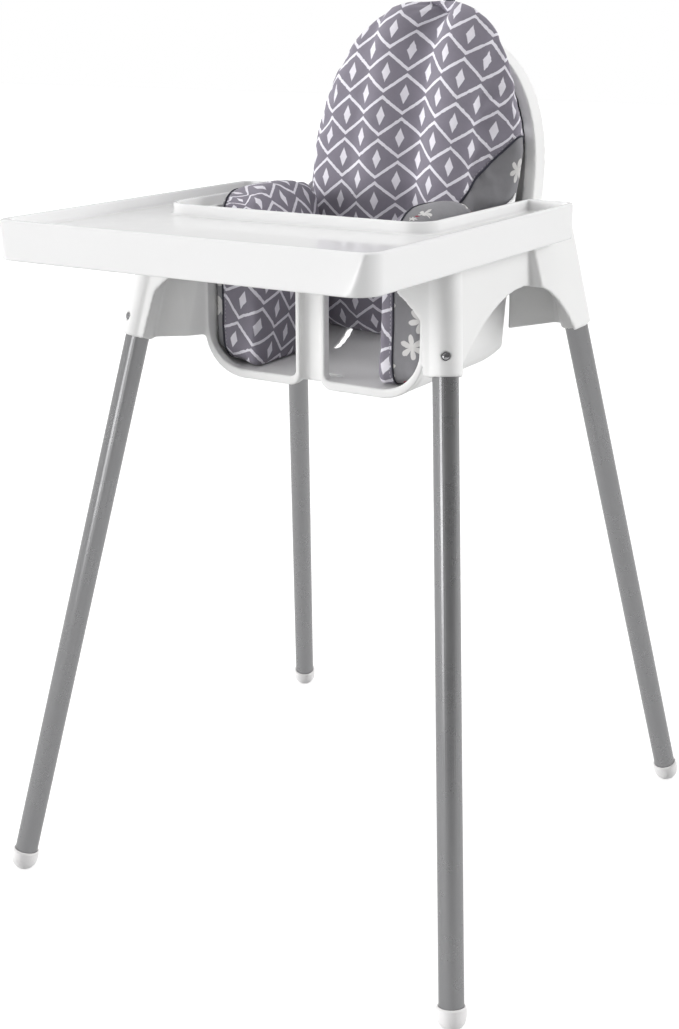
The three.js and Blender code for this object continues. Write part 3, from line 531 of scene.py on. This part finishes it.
LEAN = 0.143  # run of the backrest to the rear, for each metre up
PANEL_Y = 136 * MM  # front of the backrest panel at LEAN_Z
LEAN_Z = 704 * MM
PAD_SEAM = 11 * MM  # the pad's seam, in front of the panel
PAD_PRINT = (2 * MM, 853.6 * MM)  # x and z of one diamond of its print
HEM_DROP = 9 * MM  # the pad's lower edge sags this far below its solid
PAD_WRAP = 44 * MM  # nearer the panel than this, the print runs round the pad's side
PAD_SIDE = (92 * MM, 116 * MM)
PAD_SAG = 9 * MM  # the print hangs lower by this towards +X
PAD_SAG_X = (20 * MM, 120 * MM)
HEM_Z = (575 * MM, 640 * MM)
PAD_EDGE = 10 * MM  # the pad swells over the backrest's rim by this, between these depths, heights and x
PAD_EDGE_DEPTH = (12 * MM, 24 * MM)
PAD_EDGE_END = (34 * MM, 52 * MM)
PAD_EDGE_Z = (660 * MM, 720 * MM)
PAD_EDGE_X = (0.0, 80 * MM)
PAD_EDGE_SHARES = (1.0, 0.5)  # along x, and z
TOP_Z = 840 * MM  # the pad's top starts here
SLIM_LEFT = 9 * MM  # the pad's upper part is slimmer by this towards -X
SLIM_X = (0.0, 90 * MM)
SLIM_Z = (720 * MM, TOP_Z)
SLIM_DEPTH = (0.0, 40 * MM)
CROWN = 4 * MM  # and its top stands up by this
CROWN_Z = (TOP_Z, 900 * MM)
CROWN_DEPTH = (0.0, 20 * MM)
CORNER_LINE = (70 * MM, 695 * MM, 1.333)  # x, z and slope of the seam across the pad's lower left corner
CORNER_X = 62 * MM
FRONT_START = 8 * MM  # the channels begin this far in front of the seam
FRONT_RUN = 14 * MM
VALLEYS = [  # x, width and depth of the soft channels down the pad's front
    (21 * MM, 18 * MM, 20 * MM), (-52 * MM, 16 * MM, 7 * MM), (82 * MM, 13 * MM, 4 * MM),
]
VALLEY_SIDES = (1.3, 0.6)  # a channel's width is shared out so, towards -X and towards +X
VALLEY_POWER = 1.6
VALLEY_NARROWING = 0.45  # at the top the channels are narrower by this share
VALLEY_DEEPENING = 0.5  # and deeper by this
GATHER_Z = 893 * MM  # where the cloth is gathered under the top, on the first channel
GATHER_SIZE = (16 * MM, 13 * MM)
GATHER_DEPTH = 6 * MM
PUCKERS = 9
PUCKER_DEPTH = 1.1 * MM
PUCKER_RING = 1.3  # the puckers stand on a ring of this many gather sizes
PUCKER_SPREAD = 0.8


def back_depth(places):
    """How far a point is in front of the backrest panel."""
    return PANEL_Y + LEAN * (places[:, 2] - LEAN_Z) - places[:, 1]


def ramp(values, low, high):
    """0 below low, 1 above high, and a smooth rise between."""
    share = np.clip((values - low) / (high - low), 0, 1)
    return share * share * (3 - 2 * share)


def back_cloth(rest):
    x, z = rest[:, 0], rest[:, 2]
    depth = back_depth(rest)
    round_side = ramp(np.abs(x), *PAD_SIDE) * np.maximum(PAD_WRAP - depth, 0)
    along = x + np.sign(x) * round_side - PAD_PRINT[0]
    sag = PAD_SAG * ramp(x, *PAD_SAG_X)
    corner = z - CORNER_LINE[1] - CORNER_LINE[2] * (x - CORNER_LINE[0])
    face = np.minimum(depth - PAD_SEAM, np.maximum(corner, CORNER_X - x))
    return np.stack([along, z + sag - PAD_PRINT[1], face], axis=1)


def fuller(rest, places, centre, half, axes, powers, share):
    """Pushes a rounded box outwards along two axes, towards a squarer one."""
    offset = np.abs((rest - centre) / half)[:, axes]
    reaches = [np.maximum((offset**power).sum(axis=1), 1e-12) ** (1 / power) for power in powers]
    factor = 1 + share * (reaches[0] / reaches[1] - 1)
    pushed = places.copy()
    pushed[:, axes] = centre[axes] + (places[:, axes] - centre[axes]) * factor[:, None]
    return pushed


def valley(x, centre, width):
    """Depth profile of a channel: easy towards -X, steep towards +X."""
    side = np.where(x < centre, width * VALLEY_SIDES[0], width * VALLEY_SIDES[1])
    return np.exp(-np.abs((x - centre) / side) ** VALLEY_POWER / 2)


def channel_depth(x, z):
    """How deep the channels press into the pad's front, with the gather and its puckers under the top."""
    top = np.clip((z - TOP_Z) / (GATHER_Z - TOP_Z), 0, 1)
    pressed = np.zeros(len(x))
    for middle, width, depth in VALLEYS:
        narrowed = width * (1 - VALLEY_NARROWING * top)
        pressed += depth * (1 + VALLEY_DEEPENING * top) * valley(x, middle, narrowed)
    across, up = x - VALLEYS[0][0], z - GATHER_Z
    around = np.hypot(across / GATHER_SIZE[0], up / GATHER_SIZE[1])
    ring = np.exp(-((around - PUCKER_RING) ** 2) / PUCKER_SPREAD)
    puckers = PUCKER_DEPTH * np.cos(np.arctan2(up, across) * PUCKERS) * ring
    return pressed + GATHER_DEPTH * np.exp(-around**2) + puckers


def over_rim(rest, centre):
    """How far each point swells outwards over the backrest's rim, along x and z."""
    depth = back_depth(rest)
    outward = (rest - centre)[:, [0, 2]] * PAD_EDGE_SHARES
    outward /= np.maximum(np.linalg.norm(outward, axis=1), 1e-6)[:, None]
    edge = ramp(depth, *PAD_EDGE_DEPTH) * (1 - ramp(depth, *PAD_EDGE_END)) * ramp(rest[:, 2], *PAD_EDGE_Z)
    return outward * (PAD_EDGE * edge * ramp(rest[:, 0], *PAD_EDGE_X))[:, None]


def back_shape(rest, places):
    """Squares the pad's lower end, swells it over the rim and presses soft channels into its front."""
    centre, half = pad_frame("cushion_back")
    x, z = rest[:, 0], rest[:, 2]
    depth = back_depth(rest)
    low = 1 - ramp(z, *LOW_END_Z)
    shaped = fuller(rest, places, centre, half, [0, 2], (PAD_POWER, SQUARE_POWER), low)
    shaped[:, 2] -= HEM_DROP * (1 - ramp(z, *HEM_Z))
    shaped[:, [0, 2]] += over_rim(rest, centre)
    shaped[:, 0] += SLIM_LEFT * ramp(-x, *SLIM_X) * ramp(z, *SLIM_Z) * ramp(depth, *SLIM_DEPTH)
    shaped[:, 2] += CROWN * ramp(z, *CROWN_Z) * ramp(depth, *CROWN_DEPTH)
    front = np.clip((depth - PAD_SEAM - FRONT_START) / FRONT_RUN, 0, 1)
    shaped[:, 1] += front * channel_depth(x, z)
    return shaped


# ---------------------------------------------------------------------------------------------
# Wings
# ---------------------------------------------------------------------------------------------

WINGS = {  # node: side, seam x at the front below and above, place of one diamond and tilt of the print
    "cushion_wing_right": (-1, (-114 * MM, -118 * MM), (-32 * MM, -9 * MM), 16.0),
    "cushion_wing_left": (1, (87 * MM, 85 * MM), (-38 * MM, 4 * MM), -14.0),
}
WRAP_RADIUS = 26 * MM  # the print runs round the wing's front and over its top on this radius
PRINT_Z = 616 * MM
WING_HORN_Y = (26 * MM, 80 * MM)
WING_HORNS = {-1: 24 * MM, 1: 5 * MM}  # side: rise of the wing's rear top
WING_DROPS = {-1: 0.0, 1: 10 * MM}  # side: how far its whole top hangs lower
OUTER_PUSH = {-1: 10 * MM, 1: 0.0}  # side: how far it swells beyond its seam
OUTER_SHARES = (-0.2, 0.8)  # that push grows between these shares of its half thickness
WING_FRONT = 0.6  # the front end is square beyond this share of its half length
WING_FOLD_Y = (-5 * MM, 50 * MM)
WING_FOLD_RISE = 0.6  # the folds are full beyond this share of its half height
FOLD_SLOPE = 1.2
FOLD_SIDEWAYS = 0.5
FOLD_PITCH = 15 * MM
FOLD_DEPTH = 1.6 * MM
SEAM_TURN_Z = (640 * MM, 715 * MM)


def wing_cloth(node):
    side, seam, print_at, tilt = WINGS[node]
    centre, half = pad_frame(node)
    front_start = centre[1] - half[1] + half[0]
    top_start = centre[2] + half[2] - half[0]

    def cloth_of(rest):
        """The print is flat on the inner face, and wraps round the front end and the top as on a ball."""
        inward = -side * (rest[:, 0] - centre[0])
        past_front = np.minimum(rest[:, 1] - front_start, 0)
        past_top = np.maximum(rest[:, 2] - top_start, 0)
        reach = np.maximum(np.hypot(past_front, past_top), 1e-9)
        wrap = WRAP_RADIUS * np.arctan2(reach, inward) / reach
        u = np.maximum(rest[:, 1] - front_start, 0) + past_front * wrap
        v = np.minimum(rest[:, 2] - top_start, 0) + past_top * wrap + top_start - PRINT_Z
        rise = np.clip((rest[:, 2] - SEAM_TURN_Z[0]) / (SEAM_TURN_Z[1] - SEAM_TURN_Z[0]), 0, 1)
        turn = np.radians(tilt) * (1 - rise)
        seam_x = seam[0] + (seam[1] - seam[0]) * rise
        depth = -side * (rest[:, 0] - seam_x)
        along = u * np.cos(turn) - v * np.sin(turn) - print_at[0]
        across = u * np.sin(turn) + v * np.cos(turn) - print_at[1]
        return np.stack([along, across, depth], axis=1)

    return cloth_of


def wing_shape(node):
    side = WINGS[node][0]
    centre, half = pad_frame(node)

    def shape(rest, places):
        """Fills the front end and the bottom out towards a box, and draws the rear top up along the pad."""
        y, z = rest[:, 1], rest[:, 2]
        front = 1 - ramp(y, centre[1] - half[1] * WING_FRONT, centre[1])
        low = 1 - ramp(z, *LOW_END_Z)
        powers = (PAD_POWER, SQUARE_POWER)
        shaped = fuller(rest, places, centre, half, [0, 1], powers, front)
        shaped = fuller(rest, shaped, centre, half, [0, 2], powers, low)
        shaped = fuller(rest, shaped, centre, half, [1, 2], powers, low * front)
        upper = ramp(z, centre[2], centre[2] + half[2])
        shaped[:, 2] += ramp(y, *WING_HORN_Y) * upper * WING_HORNS[side]
        shaped[:, 2] -= WING_DROPS[side] * upper
        outwards = side * (rest[:, 0] - centre[0])
        outer = ramp(outwards, half[0] * OUTER_SHARES[0], half[0] * OUTER_SHARES[1]) * front
        shaped[:, 0] += side * outer * OUTER_PUSH[side]
        folds = np.cos((y * FOLD_SLOPE + z - side * rest[:, 0]) * math.tau / FOLD_PITCH)
        near_pad = ramp(y, *WING_FOLD_Y) * ramp(z, centre[2], centre[2] + half[2] * WING_FOLD_RISE)
        shaped[:, 2] += near_pad * folds * FOLD_DEPTH
        shaped[:, 0] += near_pad * folds * FOLD_DEPTH * side * FOLD_SIDEWAYS
        return shaped

    return shape


# ---------------------------------------------------------------------------------------------
# Seams, stitches and hems
# ---------------------------------------------------------------------------------------------

PIPING_RADIUS = 1.1 * MM
PIPING_STEP = 2.0 * MM
PIPING_PROUD = 0.2 * MM  # the piping's middle stands this far off the cloth
SEAM_MIN = 30  # a seam has at least this many points
THREAD_RADIUS = 0.3 * MM
THREAD_SIDES = 6
THREAD_PROUD = 0.15 * MM
STITCH_PITCH = 4 * MM
STITCH_POINTS = 4  # points to a pitch, the last of which is the gap
STITCH_INSET = 3.5 * MM


def seam_loops(mesh, values):
    """Closed lines where values change sign over a mesh, as arrays of points and normals."""
    places = vertex_places(mesh)
    normals = vertex_normals(mesh)
    links = {}
    for polygon in mesh.polygons:
        crossed = []
        corners = list(polygon.vertices)
        for a, b in zip(corners, corners[1:] + corners[:1]):
            if (values[a] > 0) != (values[b] > 0):
                crossed.append((min(a, b), max(a, b)))
        if len(crossed) == 2:
            links.setdefault(crossed[0], []).append(crossed[1])
            links.setdefault(crossed[1], []).append(crossed[0])
    loops = []
    unused = set(links)
    while unused:
        current = min(unused)
        chain = []
        while current is not None:
            chain.append(current)
            unused.discard(current)
            current = next((key for key in links[current] if key in unused), None)
        pairs = np.array(chain)
        share = values[pairs[:, 0]] / (values[pairs[:, 0]] - values[pairs[:, 1]])
        low, high = pairs[:, 0], pairs[:, 1]
        loops.append([data[low] + (data[high] - data[low]) * share[:, None] for data in (places, normals)])
    return loops


def resampled(loop, step):
    """A closed loop's points and normals again at an even spacing, slightly smoothed."""
    points, normals = loop
    for _ in range(3):
        points = (np.roll(points, 1, axis=0) + 2 * points + np.roll(points, -1, axis=0)) / 4
    closed = np.vstack([points, points[:1]])
    along = np.concatenate([[0], np.cumsum(np.linalg.norm(np.diff(closed, axis=0), axis=1))])
    count = max(8, int(along[-1] / step))
    wanted = np.linspace(0, along[-1], count, endpoint=False)
    even = []
    for data in (closed, np.vstack([normals, normals[:1]])):
        even.append(np.stack([np.interp(wanted, along, data[:, k]) for k in range(3)], axis=1))
    even[1] /= np.maximum(np.linalg.norm(even[1], axis=1, keepdims=True), 1e-9)
    return even


def tube_mesh(name, runs, radius, sides=8):
    """One mesh of round cords. A run is (points, closed)."""
    vertices, faces = [], []
    for points, closed in runs:
        start = len(vertices)
        count = len(points)
        for i, point in enumerate(points):
            ahead = points[(i + 1) % count] if closed or i < count - 1 else points[i]
            behind = points[i - 1] if closed or i > 0 else points[i]
            way = Vector(ahead - behind).normalized()
            across = way.orthogonal() if i == 0 else across - way * across.dot(way)
            across.normalize()
            other = way.cross(across)
            for k in range(sides):
                turn = math.tau * k / sides
                vertices.append(Vector(point) + radius * (math.cos(turn) * across + math.sin(turn) * other))
        for i in range(count if closed else count - 1):
            for k in range(sides):
                here, there = start + i * sides, start + ((i + 1) % count) * sides
                nxt = (k + 1) % sides
                faces.append((here + k, here + nxt, there + nxt, there + k))
        if not closed:
            faces.append(tuple(start + k for k in reversed(range(sides))))
            faces.append(tuple(start + (count - 1) * sides + k for k in range(sides)))
    mesh = bpy.data.meshes.new(name)
    mesh.from_pydata(vertices, [], faces)
    return mesh


def pipe_seams(pad, name):
    """Dark piping on the pad's seam, with a line of pale stitches beside it."""
    depth = get_cloth(pad.data)[:, 2].astype(float)
    piping, stitches = [], []
    tree = surface_tree(pad.data)
    for loop in seam_loops(pad.data, depth):
        if len(loop[0]) < SEAM_MIN:
            continue
        points, normals = resampled(loop, PIPING_STEP)
        piping.append((points + normals * PIPING_PROUD, True))
        edge = resampled(seam_loops(pad.data, depth - STITCH_INSET)[0], STITCH_PITCH / STITCH_POINTS)
        stitches += dashes(edge, tree)
    cord = tube_mesh(name, piping, PIPING_RADIUS)
    make_object(name + "_piping", cord, PIPING, "chair")
    thread = tube_mesh(name, stitches, THREAD_RADIUS, THREAD_SIDES)
    make_object(name + "_stitches", thread, THREAD, "chair")


def dashes(loop, tree):
    """Short open runs along a loop: all points of a stitch but its last, laid on the cloth."""
    points, _ = loop
    drawn = STITCH_POINTS - 1
    runs = []
    for i in range(0, len(points) - drawn, STITCH_POINTS):
        laid = []
        for point in points[i:i + drawn]:
            near, normal, _, _ = tree.find_nearest(Vector(point))
            laid.append(np.array(near + normal * THREAD_PROUD))
        runs.append((np.array(laid), False))
    return runs


def build_cushion():
    """The back pad first, and then the wings, which give way to it."""
    hard = [surface_tree(NODES[name].data) for name in ("seat_shell", "tray")]
    wings = [surface_tree(NODES[name].data) for name in WINGS]
    back = stuffed("cushion_back", "back_pad", cap=7 * MM, cloth_of=back_cloth, shape=back_shape,
                   blockers=hard + wings)
    pipe_seams(back, "back_pad")
    blockers = [*hard, surface_tree(back.data)]
    for node in WINGS:
        name = node.replace("cushion_", "")
        wing = stuffed(node, name + "_pad", cap=6 * MM, cloth_of=wing_cloth(node), shape=wing_shape(node),
                       blockers=blockers)
        pipe_seams(wing, name)


build_cushion()


# ---------------------------------------------------------------------------------------------
# Pocket that holds the cushion on the backrest
# ---------------------------------------------------------------------------------------------

RIM_HALF_X = 136 * MM  # outline of the backrest's rim
RIM_ROUND_Z = 720 * MM
RIM_HEIGHT = 158 * MM
RIM_POWER = 2.3
RIM_DEPTHS = (12 * MM, -13 * MM)  # front and rear of the rim, in front of the panel
POCKET_TOP_HALF = 44 * MM
POCKET_LOW_HALF = 73 * MM
POCKET_GAP = 1.1 * MM
POCKET_CLOTH = 0.9 * MM
POCKET_STEPS = (26, 40)  # across, and along
CORNER_ROUND = 4 * MM  # the pocket turns over the rim's edge within this
CORNER_LIFT = 0.6 * MM
SLACK = 3 * MM  # the pocket's back stands this far off the rim
FOLD_WAVE = 0.8 * MM
FOLD_TURNS = 11  # radians of the wave from the middle to a side
HEM_RADIUS = 1.2 * MM


def rim_top(x):
    """Height of the rim's outline at x."""
    half, height = RIM_HALF_X + POCKET_GAP, RIM_HEIGHT + POCKET_GAP
    return RIM_ROUND_Z + height * (1 - (np.abs(x) / half) ** RIM_POWER) ** (1 / RIM_POWER)


def pocket_point(across, along):
    """A point of the pocket's middle surface. across runs from -1 to 1, and along from 0 at the front to 1 at
    the hem."""
    low_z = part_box("cushion_pocket")[0].z
    x = across * (POCKET_TOP_HALF + (POCKET_LOW_HALF - POCKET_TOP_HALF) * along)
    top = rim_top(x)
    front, rear = RIM_DEPTHS[0] + POCKET_GAP / 2, RIM_DEPTHS[1] - POCKET_GAP
    reach = front - rear
    run = along * (reach + top - low_z)
    if run < reach:
        depth, z = front - run, top
    else:
        depth, z = rear, top - (run - reach)
    hanging = min(1.0, max(0.0, (top - z) / (top - low_z)))
    slack = SLACK * math.sin(math.pi * hanging) * (1 - across**2)
    corner = CORNER_LIFT * math.exp(-((run - reach) / CORNER_ROUND) ** 2)
    wave = FOLD_WAVE * math.cos(across * FOLD_TURNS) * along
    return (x, PANEL_Y + LEAN * (z - LEAN_Z) - (depth - slack + corner), z - corner + wave)


def build_pocket():
    """A sheet of cloth over the top of the backrest, reverse side out, with a hem tube on its edge."""
    columns, rows = POCKET_STEPS
    mesh = bmesh.new()
    grid = [[mesh.verts.new(pocket_point(2 * i / columns - 1, j / rows)) for i in range(columns + 1)]
            for j in range(rows + 1)]
    for j in range(rows):
        for i in range(columns):
            mesh.faces.new((grid[j][i], grid[j][i + 1], grid[j + 1][i + 1], grid[j + 1][i]))
    area = sum(face.calc_area() for face in mesh.faces)
    data = bpy.data.meshes.new("pocket")
    mesh.to_mesh(data)
    mesh.free()
    pocket = make_object("pocket_sheet", data, CUSHION_CLOTH)
    places = vertex_places(data)
    set_cloth(pocket, np.stack([places[:, 0], places[:, 2], np.full(len(places), -1.0)], axis=1))
    thicken = pocket.modifiers.new("thicken", "SOLIDIFY")
    thicken.thickness = POCKET_CLOTH
    thicken.offset = 0
    subdivide = pocket.modifiers.new("subdivide", "SUBSURF")
    subdivide.levels = 1
    apply_modifiers(pocket)
    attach(pocket, "chair")
    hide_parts("cushion_pocket")
    hem_line = [np.array(pocket_point(2 * i / columns - 1, 1.0)) for i in range(columns + 1)]
    hem_mesh = tube_mesh("pocket_hem", [(hem_line, False)], HEM_RADIUS)
    hem = make_object("pocket_hem", hem_mesh, PIPING, "chair")


build_pocket()


# ---------------------------------------------------------------------------------------------
# Stage
# ---------------------------------------------------------------------------------------------

FLOOR_HALF = 14.0
FLOOR_GLOW = 0.68
GLOSSY_GLOW = 0.5  # share of it that gloss sees
WORLD_STRENGTH = 0.7
DARK_STRENGTH = 0.18  # the studio is darker on this side, towards (x, y, z)
DARK_SIDE = (0.93, -0.37, 0.05)
DARK_FROM = -0.5  # it starts to darken at this cosine from there
SUNS = {  # name: way from the object to the lamp, softness in degrees and strength
    "key": ((-0.8, -0.56, 0.1), 26, 2.25),
    "front": ((-0.45, -0.9, 0.02), 44, 1.15),
    "fill": ((0.86, 0.5, 0.2), 45, 2.65),
    "top": ((-0.1, 0.15, 1.0), 60, 0.8),
}
STRIP_PLACE = Vector((-0.19, -1.28, 0.6))
STRIP_AIM = Vector((0.0, -0.25, 0.5))
STRIP_SIZE = (0.36, 0.5)
STRIP_POWER = 2.1


def backdrop_material():
    """Pale floor that a camera, a gloss or a glass sees as white, with the object's soft shadow on it."""
    shader = Shader("floor", Roughness=0.9)
    grain = shader.noise(shader.place(), 3.0)
    shader.set("Base Color", shader.mix(grain, [0.48, 0.48, 0.48, 1], [0.51, 0.51, 0.51, 1]))
    path = shader.add("LightPath")
    glossy = shader.math("MULTIPLY", path.outputs["Is Glossy Ray"], GLOSSY_GLOW)
    seen = shader.math("MAXIMUM", path.outputs["Is Camera Ray"], path.outputs["Is Transmission Ray"])
    seen = shader.math("MAXIMUM", seen, glossy)
    shader.set("Emission Color", [1, 1, 1, 1])
    shader.set("Emission Strength", shader.math("MULTIPLY", seen, FLOOR_GLOW))
    return shader.material


def build_floor():
    mesh = bpy.data.meshes.new("floor")
    signs = [(-1, -1), (1, -1), (1, 1), (-1, 1)]
    mesh.from_pydata([(x * FLOOR_HALF, y * FLOOR_HALF, 0) for x, y in signs], [], [(0, 1, 2, 3)])
    made = bpy.data.objects.new("floor", mesh)
    bpy.context.scene.collection.objects.link(made)
    made.data.materials.append(backdrop_material())
    made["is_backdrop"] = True


def build_world():
    """A white studio that is darker on one side, and plain white to the camera and through glass."""
    world = bpy.data.worlds.new("studio")
    bpy.context.scene.world = world
    world.use_nodes = True
    tree = world.node_tree
    background = tree.nodes["Background"]
    background.inputs["Color"].default_value = (1, 1, 1, 1)
    path = tree.nodes.new("ShaderNodeLightPath")
    seen = tree.nodes.new("ShaderNodeMath")
    seen.operation = "MAXIMUM"
    tree.links.new(path.outputs["Is Camera Ray"], seen.inputs[0])
    tree.links.new(path.outputs["Is Transmission Ray"], seen.inputs[1])
    direction = tree.nodes.new("ShaderNodeTexCoord").outputs["Generated"]
    dark_side = tree.nodes.new("ShaderNodeVectorMath")
    dark_side.operation = "DOT_PRODUCT"
    dark_side.inputs[1].default_value = DARK_SIDE
    tree.links.new(direction, dark_side.inputs[0])
    shade = tree.nodes.new("ShaderNodeMapRange")
    shade.interpolation_type = "SMOOTHSTEP"
    limits = {"From Min": DARK_FROM, "From Max": 1.0, "To Min": WORLD_STRENGTH, "To Max": DARK_STRENGTH}
    for socket, value in limits.items():
        shade.inputs[socket].default_value = value
    tree.links.new(dark_side.outputs["Value"], shade.inputs["Value"])
    strength = tree.nodes.new("ShaderNodeMapRange")
    strength.inputs["To Max"].default_value = 1.0
    tree.links.new(shade.outputs["Result"], strength.inputs["To Min"])
    tree.links.new(seen.outputs[0], strength.inputs["Value"])
    tree.links.new(strength.outputs["Result"], background.inputs["Strength"])


def add_lamp(name, kind, energy, towards):
    """A lamp that shines from towards to the object."""
    data = bpy.data.lights.new(name, kind)
    data.energy = energy
    lamp = bpy.data.objects.new(name, data)
    bpy.context.scene.collection.objects.link(lamp)
    lamp.rotation_euler = Vector(towards).to_track_quat("Z", "Y").to_euler()
    return lamp


def sun_lamp(name, towards, softness, strength):
    """A wide soft lamp that draws no highlight."""
    lamp = add_lamp(name, "SUN", strength, towards)
    lamp.data.angle = math.radians(softness)
    lamp.visible_glossy = False


def strip_lamp():
    """A low upright panel that only draws a streak down the front legs."""
    lamp = add_lamp("strip", "AREA", STRIP_POWER, STRIP_PLACE - STRIP_AIM)
    lamp.location = STRIP_PLACE
    lamp.data.shape = "RECTANGLE"
    lamp.data.size, lamp.data.size_y = STRIP_SIZE
    lamp.visible_diffuse = False
    lamp.visible_camera = False


build_floor()
build_world()
for name, (towards, softness, strength) in SUNS.items():
    sun_lamp(name, towards, softness, strength)
strip_lamp()


# ---------------------------------------------------------------------------------------------
# Camera
# ---------------------------------------------------------------------------------------------

CAMERA_PLACE = (0.7905, -1.3154, 0.8908)
CAMERA_TILT = 71.571  # degrees from straight down
CAMERA_YAW = 31.675
CAMERA_LENS = 52.53
CAMERA_SENSOR = 36.0


def build_camera():
    data = bpy.data.cameras.new("camera")
    data.lens = CAMERA_LENS
    data.sensor_width = CAMERA_SENSOR
    camera = bpy.data.objects.new("camera", data)
    bpy.context.scene.collection.objects.link(camera)
    camera.location = CAMERA_PLACE
    camera.rotation_euler = (math.radians(CAMERA_TILT), 0, math.radians(CAMERA_YAW))
    bpy.context.scene.camera = camera


build_camera()
bpy.context.scene.view_settings.view_transform = "Standard"


def corners(box):
    return [list(corner) for corner in box]


{"cad": corners(CAD_BOX), "visual": corners(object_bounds())}
